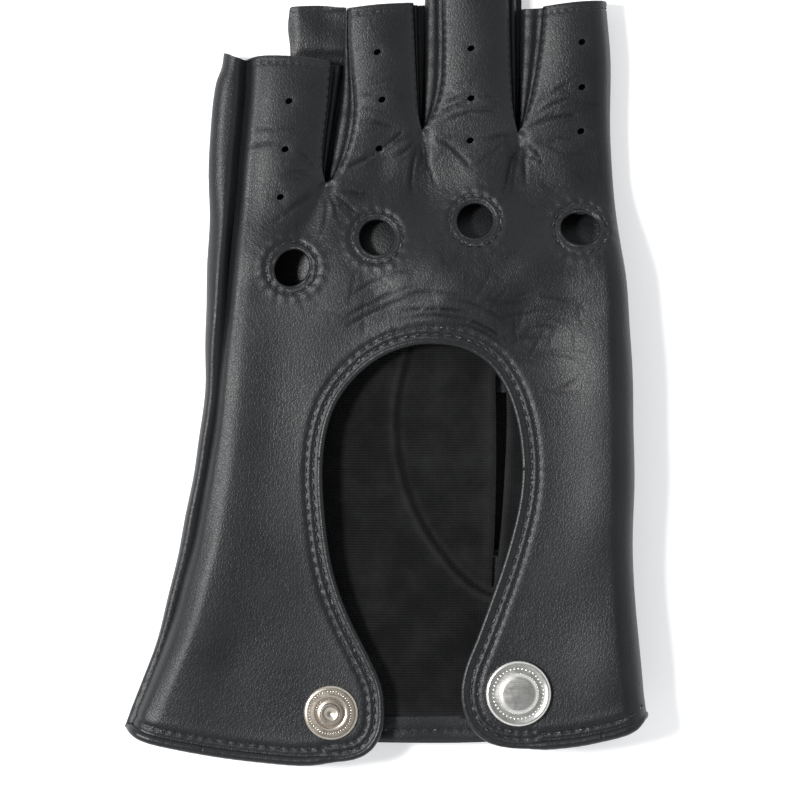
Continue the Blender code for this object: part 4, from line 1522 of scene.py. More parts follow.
@dataclass
class BackLeather:
    """Back of the glove: one panel with the fingers' backs and both flaps, rolled round the index side."""

    form: GloveForm
    step: float
    perforation: tuple = (0.86, 0.68)
    perforation_tilt: float = 28.0

    def wrap(self, uv: np.ndarray) -> tuple[np.ndarray, np.ndarray, np.ndarray]:
        """Where the roll round the index side begins, its radius, and how far round a place is.

        Args:
            uv: Places in the flat panel.

        Returns:
            Start of the roll, radius and distance past the start.
        """
        radius = self.form.side_radius("right", uv[:, 1])
        start = self.form.edge("right", uv[:, 1]) - radius
        return start, radius, np.clip(uv[:, 0] - start, 0, None)

    def lap_end(self, v: np.ndarray) -> np.ndarray:
        """Edge of the panel under the glove."""
        start, radius, _ = self.wrap(np.column_stack([np.zeros_like(v), v]))
        return start + np.pi * radius

    def place(self, uv: np.ndarray, sunk: float = 0.0) -> np.ndarray:
        """Lay the flat panel on the glove.

        Args:
            uv: Places in the flat panel.
            sunk: How far under the outer surface.

        Returns:
            Points of the outer skin.
        """
        start, radius, past = self.wrap(uv)
        turn = np.clip(past / radius, 0, np.pi)
        under = np.clip(past - np.pi * radius, 0, None)
        relief = BACK(uv) - BACK.rolled(uv[:, 0], uv[:, 1])
        relief -= 0.3 * ridge(self.lap_end(uv[:, 1]) - uv[:, 0], 0, 0.9) + sunk
        x = np.where(past > 0, start + (radius + relief) * np.sin(turn) - under, uv[:, 0])
        flat_z = BACK.rolled(np.minimum(uv[:, 0], start), uv[:, 1])
        z = flat_z - radius * (1 - np.cos(turn)) + relief * np.cos(turn)
        return np.column_stack([x, uv[:, 1], z])

    def from_plan(self, line: np.ndarray) -> np.ndarray:
        """Flat places of points seen from above.

        Args:
            line: Points in plan.

        Returns:
            Their places in the flat panel.
        """
        start, radius, _ = self.wrap(line)
        x, y = line.T
        share = np.clip((x - start) / radius, 0, 0.98)
        return np.column_stack([np.where(x > start, start + radius * np.arcsin(share), x), y])

    def free_edge(self) -> np.ndarray:
        """Flat line of the hems and the keyhole.

        Returns:
            Its points, from the side seam to the edge under the glove.
        """
        line = keyhole_line()
        line = line[line[:, 0] > self.form.edge("seam", line[:, 1]) + 0.05]
        line = self.from_plan(line)
        end = float(self.lap_end(np.array([-80.0]))[0])
        under = np.array([(line[-1, 0] + 1.2, -80.0), (end, -79.6)])
        return resample(np.vstack([line, under]), 0.55)

    def outline(self) -> np.ndarray:
        """Closed flat outline.

        Returns:
            Its corners, anticlockwise.
        """
        edge = self.free_edge()
        ys = np.arange(edge[-1, 1] + 1, 84.2, 1.0)
        lap = np.column_stack([self.lap_end(ys), ys])
        index, middle, ring_f, little = (finger(n) for n in ("index", "middle", "ring", "little"))
        down = np.arange(70.4, -83.2, -0.7)
        return join_lines(
            edge, lap, straight(0.6, (lap[-1, 0], 84.5), (49.8, 84.4)), tip_line("index")[::-1],
            spline(index.left, 0.5)[::-1], spline(middle.right, 0.5), tip_line("middle")[::-1],
            spline(middle.left, 0.5)[::-1], spline(ring_f.right, 0.5), tip_line("ring")[::-1],
            spline(ring_f.left, 0.5)[::-1], spline(little.right, 0.5), tip_line("little")[::-1],
            np.column_stack([self.form.edge("seam", down), down]),
        )

    def cuts(self) -> list:
        """Lines where the panel is split between the hand and a finger or a flap.

        Returns:
            The lines, in the flat panel.
        """
        starts = [np.array([shape.start_y]) for shape in FINGERS]
        seam, lap = float(self.form.edge("seam", starts[0])[0]), float(self.lap_end(starts[-1])[0])
        lines = []
        for low, high, (y,) in zip((seam, -8.0, 8.5, 30.6), (-14.9, 7.2, 29.3, lap), starts):
            lines.append(straight(0.7, (low, y), (high, y))[1:-1])
        for fold in (self.form.stud_fold, self.form.cap_fold):
            whole = resample(np.array(fold), 0.7)
            lines.append(whole[(whole[:, 1] < -20.2) & (whole[:, 1] > -86)])
        return lines

    def build(self, finishes: Finishes) -> dict:
        """Make the panel's pieces, one for each body.

        Args:
            finishes: The glove's finishes.

        Returns:
            The pieces by body.
        """
        holes = [hole.ring(0, 0.4) for hole in KNUCKLES]
        for x, y in (hole for shape in FINGERS for hole in shape.holes):
            holes.append(ring(x, y, *self.perforation, 0.3, self.perforation_tilt))
        cut = Cut.make(self.outline(), tuple(holes), tuple(self.cuts()), self.step)
        skin = Skin(cut, self.place(cut.points), self.form.leather)
        skin.shade = BACK.wrinkles.shade(cut.points)
        part = body_at(cut.points[cut.faces].mean(axis=1))
        nodes = {
            Body.HAND: "back_panel", Body.STUD_FLAP: "stud_flap_leather", Body.CAP_FLAP: "cap_flap_leather",
            Body.LITTLE: "little_back", Body.RING: "ring_back", Body.MIDDLE: "middle_back",
            Body.INDEX: "index_back",
        }
        return split(skin, part, nodes, finishes.leather)


@dataclass
class PalmLeather:
    """Palm of the glove: it turns up round the little-finger side to the seam on the back."""

    form: GloveForm
    step: float

    def seam_u(self, v: np.ndarray) -> np.ndarray:
        """Flat place of the side seam.

        Args:
            v: Distances along the palm.

        Returns:
            The place across it for each.
        """
        left, radius = self.form.edge("left", v), self.form.side_radius("left", v)
        short = left + radius - self.form.edge("seam", v)
        turn = np.pi - np.arcsin(np.clip(short / radius, 0, 1))
        return left + radius - radius * turn - np.clip(-short, 0, None)

    def place(self, uv: np.ndarray, raised: float = 0.0) -> np.ndarray:
        """Lay the flat palm under the glove.

        Args:
            uv: Places in the flat palm.
            raised: How far inside the outer surface.

        Returns:
            Points of the outer skin.
        """
        u, v = uv[:, 0], uv[:, 1]
        left, radius = self.form.edge("left", v), self.form.side_radius("left", v)
        past = np.clip(left + radius - u, 0, None)
        turn = np.clip(past / radius, 0, np.pi)
        over = np.clip(past - np.pi * radius, 0, None)
        relief = 0.15 * np.sin(v / 7.0 + 1.0) * smooth(turn)
        relief += 0.1 * np.sin(v / 3.1) * smooth(turn - 0.4)
        gap = u - self.seam_u(v)
        short = np.clip(left + radius - self.form.edge("seam", v), 0, radius)
        rolled = radius - np.sqrt(radius**2 - short**2)
        relief -= np.clip(self.form.shoulder(0.0, v) - rolled, 0, None) * ridge(gap, 0, 1.7)
        relief -= 1.1 * ridge(gap, 0, 0.7) - 0.3 * ridge(gap, 1.8, 0.9)
        end = self.form.edge("right", v) - self.form.side_radius("right", v)
        relief -= 0.3 * ridge(end - u, 0, 0.9) + raised
        x = np.where(past > 0, left + radius - (radius + relief) * np.sin(turn) + over, u)
        z = self.form.base(u, v) + np.where(past > 0, radius - (radius + relief) * np.cos(turn), -relief)
        return np.column_stack([x, v, z])

    def outline(self) -> np.ndarray:
        """Closed flat outline.

        Returns:
            Its corners, anticlockwise.
        """
        form = self.form
        low = float(self.seam_u(np.array([-83.4]))[0])
        hem = spline([
            (low, -83.4), (-62.5, -82.9), (-56.0, -84.0), (-45, -85.2), (-28, -86.3), (-3, -86.7),
            (19, -86.7), (38, -85.4), (50.5, -82.4),
        ], 0.6)
        ys = np.arange(-81.5, 84.0, 1.0)
        side = np.column_stack([form.edge("right", ys) - form.side_radius("right", ys) - 0.05, ys])
        index, middle, ring_f, little = (finger(n) for n in ("index", "middle", "ring", "little"))
        up = float(self.seam_u(np.array([70.4]))[0])
        tip = spline([
            (-10.0, 70.0), (-22, 71.0), (-33, 71.3), (-36.5, 72.0), (-41, 72.6), ((-41 + up) / 2, 71.8),
            (up, 70.7),
        ], 0.6)
        down = np.arange(70.0, -83.0, -0.8)
        return join_lines(
            hem, side, straight(0.6, (side[-1, 0], 84.2), (31.0, 83.0)),
            spline(index.palm_left, 0.6)[::-1], spline(middle.palm_right, 0.6),
            straight(0.6, (30.9, 91.3), (9.1, 91.3)), spline(middle.palm_left, 0.6)[::-1],
            spline(ring_f.palm_right, 0.6), straight(0.6, (8.95, 84.0), (-9.6, 83.0)),
            spline(ring_f.palm_left, 0.6)[::-1], spline(little.palm_right, 0.6), tip,
            np.column_stack([self.seam_u(down), down]),
        )

    def build(self, finishes: Finishes) -> dict:
        """Make the palm's pieces, one for each body.

        Args:
            finishes: The glove's finishes.

        Returns:
            The pieces by body.
        """
        starts = [shape.start_y for shape in FINGERS]
        seam = float(self.seam_u(np.array(starts[:1]))[0])
        cuts = []
        for low, high, y in zip((seam, -11.0, 8.5, 30.4), (-14.6, 7.2, 29.6, 47.0), starts):
            cuts.append(straight(0.8, (low, y), (high, y))[1:-1])
        hole = ring(Thumb.x, Thumb.y + 1.4, Thumb.hole, Thumb.hole + 3.2, 1.0)
        cut = Cut.make(self.outline(), (hole,), tuple(cuts), self.step)
        skin = Skin(cut, self.place(cut.points), self.form.leather, faces_down=True)
        part = body_at(cut.points[cut.faces].mean(axis=1), flaps=False)
        nodes = {
            Body.HAND: "palm_panel", Body.LITTLE: "little_palm", Body.RING: "ring_palm",
            Body.MIDDLE: "middle_palm", Body.INDEX: "index_palm",
        }
        return split(skin, part, nodes, finishes.leather)


@dataclass(frozen=True)
class Stitch:
    """Size of one visible stitch."""

    length: float
    radius: float = 0.24
    sides: int = 7

    def shape(
        self, centres: np.ndarray, ahead: np.ndarray, up: np.ndarray,
    ) -> tuple[np.ndarray, list, np.ndarray]:
        """Stitches as one mesh.

        Args:
            centres: Middle of each stitch.
            ahead: Direction of each stitch.
            up: Direction away from the leather.

        Returns:
            Corners, faces and places for the thread's colour.
        """
        run = np.array([-1.0, -0.93, -0.7, -0.3, 0.3, 0.7, 0.93, 1.0])
        size = np.array([0.25, 0.62, 0.92, 1.0, 1.0, 0.92, 0.62, 0.25])
        sag = np.array([-0.30, -0.22, -0.08, 0.0, 0.0, -0.08, -0.22, -0.30])
        a = np.arange(self.sides) * math.tau / self.sides
        side = np.cross(up, ahead)
        points, faces, rest = [], [], []
        for i, (c, d, w, h) in enumerate(zip(centres, ahead, side, up)):
            first = len(points) * len(run) * self.sides
            body = (
                c + np.outer(run * self.length / 2, d)[:, None] + (size * self.radius)[:, None, None]
                * (np.cos(a)[:, None] * w + 0.85 * np.sin(a)[:, None] * h)[None] + np.outer(sag, h)[:, None]
            )
            points.append(body.reshape(-1, 3))
            rest.append(np.array([[i * 7.3, i * 3.1, 0]]) + body.reshape(-1, 3) - c)
            for j in range(len(run) - 1):
                low = first + j * self.sides
                high = low + self.sides
                for k in range(self.sides):
                    m = (k + 1) % self.sides
                    faces.append((low + k, high + k, high + m, low + m))
            faces.append(tuple(first + k for k in range(self.sides)))
            last = first + (len(run) - 1) * self.sides
            faces.append(tuple(last + k for k in reversed(range(self.sides))))
        return np.vstack(points), faces, np.vstack(rest)


class Seamstress:
    """Sews rows of stitches and keeps them by body, so that each body gets one piece of stitching."""

    def __init__(self, back: BackLeather) -> None:
        self.back = back
        self.rng = np.random.default_rng(11)
        self.found: dict = {}

    def row(
        self, flat: np.ndarray, pitch: float, stitch: Stitch, name: str, lift: float, closed: bool = False,
    ) -> None:
        """Sew along a flat line of the back.

        Args:
            flat: The line, in the flat panel.
            pitch: Distance from stitch to stitch.
            stitch: Size of a stitch.
            name: Name of the row.
            lift: Height of the thread's middle over the leather.
            closed: Whether the line is a loop.
        """
        if closed:
            flat = np.vstack([flat, flat[:1]])
        spots = resample(flat, pitch)
        spots = spots[:-1] if closed else spots[1:-1]
        ahead = np.gradient(np.vstack([spots[-1:], spots, spots[:1]]) if closed else spots, axis=0)
        ahead = ahead[1:-1] if closed else ahead
        ahead /= np.linalg.norm(ahead, axis=1)[:, None]
        spots = spots + ahead * self.rng.normal(0, 0.06, len(spots))[:, None] * pitch
        a, b = self.back.place(spots - ahead * 0.35), self.back.place(spots + ahead * 0.35)
        across = np.column_stack([-ahead[:, 1], ahead[:, 0]])
        c, d = self.back.place(spots - across * 1.1), self.back.place(spots + across * 1.1)
        along = (b - a) / np.linalg.norm(b - a, axis=1)[:, None]
        up = np.cross(b - a, d - c)
        up /= np.linalg.norm(up, axis=1)[:, None]
        middle = (a + b + c + d) / 4 + up * lift
        part = body_at(spots)
        for number in np.unique(part):
            mine = part == number
            self.keep(list(Body)[number], name, stitch, middle[mine], along[mine], up[mine])

    def keep(self, body: Body, name: str, stitch: Stitch, *spots: np.ndarray) -> None:
        """Keep stitches of a body's row: their middles, directions and up directions."""
        self.found.setdefault((body, name), []).append((stitch, *spots))

    def finish(self, thread: Material) -> None:
        """Make the stitching of every body.

        Args:
            thread: Finish of the thread.
        """
        for (body, name), rows in self.found.items():
            points, faces, rest = [], [], []
            for stitch, middle, along, up in rows:
                p, f, r = stitch.shape(middle, along, up)
                first = sum(len(q) for q in points)
                points.append(p)
                rest.append(r)
                faces += [tuple(first + k for k in face) for face in f]
            name = f"stitches_{name}_{body.value}"
            bend(make_piece(name, np.vstack(points), faces, thread, rest=np.vstack(rest)), body)


@dataclass
class Edging:
    """Rolled binding round the flaps and keyhole, turned finger ends, and the stitching beside them."""

    back: BackLeather
    sewing: Seamstress
    binding: tuple = (0.80, 0.72)
    binding_sink: float = 0.45
    end_roll: tuple = (0.46, 0.5)
    end_sink: float = 0.42

    def roll(
        self, flat: np.ndarray, name: str, size: tuple, sink: float, finish: Material,
        hem_growth: float = 0.0,
    ) -> Piece:
        """A roll of leather along a flat line of the back.

        Args:
            flat: The line, in the flat panel.
            name: Name of the roll.
            size: Half width and half height.
            sink: How far its middle lies under the leather's surface.
            finish: Its finish.
            hem_growth: How much thicker it is along the hems.

        Returns:
            The roll.
        """
        line = self.back.place(flat, sink)
        wobble = 1 + 0.02 * np.sin(np.arange(len(line)) * 0.55 * math.tau / BACK.STITCH_PITCH)
        hem = smooth((-11.0 - flat[:, 0]) / 6) + smooth((flat[:, 0] - 31.0) / 6)
        hem *= 1 - 0.8 * smooth((flat[:, 0] - 54.0) / 4)
        wobble += hem_growth * hem * (flat[:, 1] < -78)
        points, faces, rest = sweep(line, size[0] * wobble, size[1] * wobble, 12)
        # The roll is made paler through the wear attribute: wear together with a painted highlight.
        return make_piece(name, points, faces, finish, rest=rest, wear=0.35)

    def bind(self, finishes: Finishes) -> None:
        """Bind the hems and the keyhole, in the runs that each body carries.

        Args:
            finishes: The glove's finishes.
        """
        flat = self.back.free_edge()
        part = body_at(flat)
        starts = [0, *(np.flatnonzero(np.diff(part)) + 1), len(part)]
        nodes = (
            "hem_binding_stud_side", "stud_flap_binding", "keyhole_binding", "cap_flap_binding",
            "hem_binding_cap_side",
        )
        for run, (a, b, node) in enumerate(zip(starts, starts[1:], nodes)):
            body = list(Body)[part[a]]
            stretch, name = flat[a:min(b + 1, len(flat))], f"binding_{run}_{body.value}"
            roll = self.roll(stretch, name, self.binding, self.binding_sink, finishes.binding, 0.45)
            settle(roll, body, node)

    def turn_ends(self, finishes: Finishes) -> None:
        """Make and sew the turned edges of the half fingers.

        Args:
            finishes: The glove's finishes.
        """
        for shape in FINGERS:
            line = tip_line(shape.name)
            if shape.name == "index":
                end = float(self.back.lap_end(np.array([84.4]))[0])
                line = np.vstack([line, straight(0.5, (49.8, 84.4), (end - 1, 84.5))[1:]])
            name = "turned_edge_" + shape.name
            roll = self.roll(line + (0, -0.25), name, self.end_roll, self.end_sink, finishes.leather)
            bend(roll, shape.body)
            self.sewing.row(line + (0, -1.5), 1.75, Stitch(1.15, 0.17), "finger_ends", 0.02)

    def sew(self) -> None:
        """Two rows along the keyhole and one along each hem."""
        flat = self.back.free_edge()
        pitch = BACK.STITCH_PITCH
        inner, outer = BACK.KEYHOLE_ROWS
        on_keyhole = (flat[:, 0] > -14.0) & (flat[:, 0] < 33.0)
        first, last = np.flatnonzero(on_keyhole)[[0, -1]]
        self.sewing.row(offset(flat, 2.9)[:first], 1.75, Stitch(1.2, 0.2), "hem", 0.05)
        self.sewing.row(offset(flat, inner)[first:last], pitch, Stitch(1.65, 0.27), "edge", 0.16)
        self.sewing.row(offset(flat, outer)[first + 3:last - 3], pitch, Stitch(1.45, 0.2), "edge", 0.06)
        above = flat[last:, 1] < -79
        self.sewing.row(offset(flat, 2.7)[last:][above][:-16], 3.1, Stitch(1.9, 0.22), "hem", 0.08)

    def build(self, finishes: Finishes) -> None:
        """Make the edging."""
        self.bind(finishes)
        self.turn_ends(finishes)
        self.sew()


@dataclass
class KnuckleRings:
    """Rolled rim, facing and stitched ring of each knuckle hole."""

    back: BackLeather
    sewing: Seamstress
    rim: tuple = (0.5, 0.62)
    facing: tuple = (0.7, 2.6)
    row: float = 1.4
    pitch: float = 2.05

    def build(self, finishes: Finishes) -> None:
        """Make the rims and facings, and sew the rings.

        Args:
            finishes: The glove's finishes.
        """
        for hole in KNUCKLES:
            line = self.back.place(hole.ring(0.05, 0.35))
            line[:, 2] -= 0.5
            points, faces, rest = sweep(line, *self.rim, 10, closed=True)
            # The rim is made paler through the wear attribute: wear together with a painted highlight.
            rim = make_piece("rim_" + hole.name, points, faces, finishes.leather, rest=rest, wear=0.5)
            bend(rim, Body.HAND)
            inner, outer = self.facing
            cut = Cut.make(hole.ring(outer, 0.6), (hole.ring(inner, 0.5),), (), 0.7)
            skin = Skin(cut, self.back.place(cut.points, 0.95), 0.5)
            facing = skin.piece("facing_" + hole.name, finishes.facing)
            settle(facing, Body.HAND, "knuckle_facing_" + hole.name)
            name = "knuckle_" + hole.name
            self.sewing.row(hole.ring(self.row, 0.3), self.pitch, Stitch(1.4, 0.26), name, 0.12, closed=True)


# ------------------------------------------------------------------ lining, fourchettes, thumb and snaps


class Linings:
    """Jersey lining of the palm, the palm's hem facing, and the facings under both flaps."""

    HEM_LOW = ((-47, -84.3), (-28, -86.0), (-3, -86.5), (19, -86.5), (36, -85.3), (46, -83.0))
    HEM_ROW = 2.8
    HEM_PITCH = 2.4

    def __init__(self, form: GloveForm, back: BackLeather, sewing: Seamstress) -> None:
        self.form = form
        self.back = back
        self.sewing = sewing
        self.thumb_seam = spline([
            (5.7, 6.0), (3.0, -4.0), (2.1, -12.2), (2.8, -21.4), (5.1, -29.7), (8.3, -36.6), (12.0, -42.1),
            (16.6, -47.6), (21.2, -51.3), (25.5, -53.0),
        ], 0.4)
        self.slit = spline([
            (25.2, -0.5), (27.0, -3.0), (27.4, -12.0), (26.9, -25.0), (26.0, -38.0), (24.6, -49.5),
            (23.9, -49.5), (24.6, -38.0), (24.9, -25.0), (24.9, -12.0), (24.8, -3.0), (25.1, -0.6),
        ], 0.5)[:-1]

    def lining_height(self, points: np.ndarray) -> np.ndarray:
        """Outer height of the jersey with its soft folds.

        Args:
            points: Points in plan.

        Returns:
            A height for each.
        """
        x, y = points[:, 0], points[:, 1]
        z = self.form.base(x, y) + self.form.leather + 0.75
        near, index = Nearest(self.thumb_seam)(points)
        inner = np.where(x > self.thumb_seam[index, 0], 1.0, -1.0)
        firm = 0.5 + 0.5 * smooth((-28 - self.thumb_seam[index, 1]) / 15)
        z -= 0.75 * ridge(near, 0, 0.5) * firm
        z += 0.5 * ridge(near * inner, 1.2, 0.8) * firm
        z += 0.35 * ridge(near * inner, -1.3, 0.9) * firm
        slit, _ = Nearest(self.slit)(points)
        z += 0.75 * ridge(slit, 0, 2.0) - 0.7 * ridge(slit, 0, 0.6)
        z += 0.22 * np.sin(x / 5.0 + y / 16) * np.sin(y / 11.0 + 0.7) + 0.12 * np.sin(x / 2.3 - y / 7.0)
        return z + 0.25

    def lining_shade(self, points: np.ndarray) -> np.ndarray:
        """Painted shade of the jersey in the thumb's seam, painted highlight on the ridges beside it, and a
        lighter tone over the thumb.

        Args:
            points: Points in plan.

        Returns:
            A value for each, below 0 for painted shade and above 0 where it is painted lighter.
        """
        near, index = Nearest(self.thumb_seam)(points)
        over = (points[:, 0] > self.thumb_seam[index, 0]) & (points[:, 1] > -53)
        away = np.where(over, near, -near)
        shade = -0.9 * ridge(away, 0, 0.55) + 0.7 * ridge(away, -1.3, 0.7)
        return shade + 0.16 * smooth(away / 4) + 0.3 * ridge(away, 1.4, 0.6)

    def lining(self, finishes: Finishes, palm_piece: Piece) -> None:
        """The jersey, laid inside the palm.

        Args:
            finishes: The glove's finishes.
            palm_piece: The palm that it rests on; not used.
        """
        outline = spline([
            (-40, -79.8), (0, -80.4), (44, -79.8), (47, -60), (47, -20), (46, 14), (30, 22), (0, 22),
            (-26, 18), (-33, 0), (-36, -30), (-40, -79.0),
        ], 1.0)[:-1]
        cut = Cut.make(outline, (self.slit,), (), 0.8)
        laid = np.column_stack([cut.points, self.lining_height(cut.points)])
        skin = Skin(cut, laid, 0.6)
        skin.shade = self.lining_shade(cut.points)
        piece = settle(skin.piece("lining_jersey_palm", finishes.knit), Body.HAND, "palm_lining")
        a, b, c = (laid[cut.faces[:, k]] for k in range(3))
        area = float(np.linalg.norm(np.cross(b - a, c - a), axis=1).sum() / 2) * MM**2
        low, high = cut.points.min(axis=0), cut.points.max(axis=0)
        flat = ((high - low) * MM).tolist()
        area = min(area * 0.99, flat[0] * flat[1])

    def hem_facing(self, finishes: Finishes) -> None:
        """The band sewn inside the palm's lower edge.

        Args:
            finishes: The glove's finishes.
        """
        low_x, low_y = zip(*self.HEM_LOW)
        outline = join_lines(
            straight(0.6, *self.HEM_LOW),
            straight(0.6, (46, -79.0), (19, -80.6), (-3, -80.6), (-28, -80.2), (-47, -78.6)),
        )
        cut = Cut.make(outline, (), (), 0.7)
        x, y = cut.points.T
        lower = np.interp(x, low_x, low_y)
        z = self.form.base(x, y) + self.form.leather + 1.15
        pucker = 1 + 0.3 * np.sin(x * math.tau / self.HEM_PITCH)
        z -= 0.22 * ridge(y - lower, self.HEM_ROW, 0.45) * pucker
        z -= 0.5 * smooth(1 - (y - lower) / 0.8)
        z += 0.12 * np.sin(x / 3.0)
        skin = Skin(cut, np.column_stack([cut.points, z]), 0.8)
        settle(skin.piece("palm_hem_band", finishes.leather), Body.HAND, "palm_hem_facing")
        xs = np.arange(-44, 44, self.HEM_PITCH)
        ys = np.interp(xs, low_x, low_y) + self.HEM_ROW
        zs = self.form.base(xs, ys) + self.form.leather + 1.12
        middle = np.column_stack([xs, ys, zs + 0.12 * np.sin(xs / 3.0)])
        ahead = np.gradient(middle, axis=0)
        ahead /= np.linalg.norm(ahead, axis=1)[:, None]
        up = np.tile([0.0, 0.0, 1.0], (len(xs), 1))
        self.sewing.keep(Body.HAND, "palm_hem", Stitch(1.6, 0.22), middle, ahead, up)

    def flap_facings(self, finishes: Finishes) -> None:
        """Facings under the flaps, inside their bindings.

        Args:
            finishes: The glove's finishes.
        """
        edge = self.back.free_edge()
        for body, fold, sign, node in (
            (Body.STUD_FLAP, self.form.stud_fold, 1, "stud_flap_lining"),
            (Body.CAP_FLAP, self.form.cap_fold, -1, "cap_flap_lining"),
        ):
            mine = body_at(edge) == body.number
            free = offset(edge, 1.1)[mine]
            free = free[fold_side(free, fold, sign) > 1.0]
            closing = straight(0.8, free[-1], free[0])[1:-1]
            cut = Cut.make(join_lines(free, closing), (), (), 1.0)
            skin = Skin(cut, self.back.place(cut.points, 1.15), 0.6)
            settle(skin.piece("facing_" + node, finishes.facing), body, node)

    def build(self, finishes: Finishes, palm_piece: Piece) -> None:
        """Make the linings and facings."""
        self.lining(finishes, palm_piece)
        self.hem_facing(finishes)
        self.flap_facings(finishes)


@dataclass(frozen=True)
class Fourchette:
    """Narrow side strip of a finger, from the back's edge down to the palm."""

    node: str
    body: Body
    back_edge: list
    palm_edge: list

    PROFILE = (
        (0.0, 1.0), (0.03, 0.80), (0.10, 0.60), (0.28, 0.52), (0.55, 0.56), (0.80, 0.50), (0.97, 0.30),
        (1.02, 0.12), (0.97, 0.0),
    )

    def build(self, back: BackLeather, form: GloveForm, finish: Material) -> None:
        """Make the strip.

        Args:
            back: The back, which its upper edge is sewn to.
            form: The glove's form.
            finish: Its finish.
        """
        top, low = spline(self.back_edge, 0.2), spline(self.palm_edge, 0.2)
        share = np.linspace(0, 1, 70)
        y_end = min(top[-1, 1], low[-1, 1]) - 0.15
        y_start = max(top[0, 1], low[0, 1]) + 0.8
        ys = y_start + (y_end - y_start) * share
        top_x, low_x = np.interp(ys, top[:, 1], top[:, 0]), np.interp(ys, low[:, 1], low[:, 0])
        back_x, palm_x = (np.array(edge).mean(axis=0)[0] for edge in (self.back_edge, self.palm_edge))
        into = np.sign(back_x - palm_x)
        top_x = top_x + 0.35 * into
        top_z = back.place(np.column_stack([top_x + 0.5 * into, ys]))[:, 2] - form.leather - 0.15
        low_z = form.base(low_x, ys) + form.leather + 0.1
        profile = spline(list(self.PROFILE), 0.06)
        wave = 0.12 * np.sin(ys / 2.1) + 0.08 * np.sin(ys / 0.9 + 1.0)
        rows = []
        for x_share, z_share in profile:
            z = low_z + (top_z - low_z) * z_share + wave * math.sin(math.pi * min(max(z_share, 0), 1))
            rows.append(np.column_stack([top_x + (low_x - top_x) * x_share, ys, z]))
        grid = np.array(rows)
        count, length = grid.shape[:2]
        flat = np.column_stack([np.repeat(np.arange(count) * 0.5, length), np.tile(ys, count)])
        quads = []
        for i in range(count - 1):
            for j in range(length - 1):
                a, b = i * length + j, (i + 1) * length + j
                quads += [(a, b, b + 1), (a, b + 1, a + 1)]
        faces = np.array(quads)
        skin = Skin(Cut(flat, faces if into < 0 else faces[:, ::-1]), grid.reshape(-1, 3), 0.6)
        settle(skin.piece("side_strip_" + self.node, finish), self.body, self.node)


@dataclass
class FingerSides:
    """All six fourchettes, and the ring finger's strip spread flat at its end."""

    back: BackLeather
    form: GloveForm

    def wing(self, finishes: Finishes) -> None:
        """The open end of the ring finger's outer strip.

        Args:
            finishes: The glove's finishes.
        """
        outline = join_lines(
            straight(0.6, (-22.4, 66.5), (-10.3, 66.5)), straight(0.6, (-10.2, 67.0), (-9.75, 83.1)),
            spline([(-9.8, 83.4), (-16.0, 84.0), (-22.4, 83.8)], 0.6),
            spline([(-22.9, 83.4), (-23.3, 79.0), (-22.8, 74.0), (-22.6, 67.0)], 0.6),
        )
        cut = Cut.make(outline, (), (), 0.6)
        x, y = cut.points.T
        clear = smooth((y - 71.4) / 3)
        waves = 0.2 * np.sin((x + 23) / 3.2) + 0.15 * np.sin(y / 2.0 + x / 3)
        z = 1.6 + clear * (0.4 * smooth((x + 16) / 6) + waves)
        z += clear * (0.5 - 0.34 * np.clip(-21.0 - x, 0, 3) + 0.4 * ridge(y, 83.4, 0.8))
        skin = Skin(cut, np.column_stack([cut.points, z]), 0.8)
        bend(skin.piece("side_strip_ring_spread_end", finishes.leather), Body.RING)

    def build(self, finishes: Finishes) -> None:
        """Make the strips.

        Args:
            finishes: The glove's finishes.
        """
        for name, side, low in (
            ("little", "inner", [(-14.7, 42.4), (-13.8, 48.0), (-12.6, 56.0), (-10.5, 70.0)]),
            ("ring", "outer", [(-14.5, 42.4), (-13.35, 48.0), (-12.05, 56.0), (-10.7, 66.0), (-10.1, 82.6)]),
            ("ring", "inner", [(7.5, 54.6), (7.45, 60.0), (7.2, 70.0), (6.9, 83.9)]),
            ("middle", "outer", [(7.7, 54.6), (8.0, 60.0), (8.35, 70.0), (8.7, 91.3)]),
            ("middle", "inner", [(29.6, 53.9), (29.8, 60.0), (29.8, 72.0), (29.6, 91.3)]),
            ("index", "outer", [(29.8, 53.9), (30.15, 60.0), (30.5, 72.0), (30.7, 83.0)]),
        ):
            shape = finger(name)
            top = shape.left if side == "outer" else shape.right
            strip = Fourchette(f"{name}_{side}_fourchette", shape.body, top, low)
            strip.build(self.back, self.form, finishes.leather)
        self.wing(finishes)


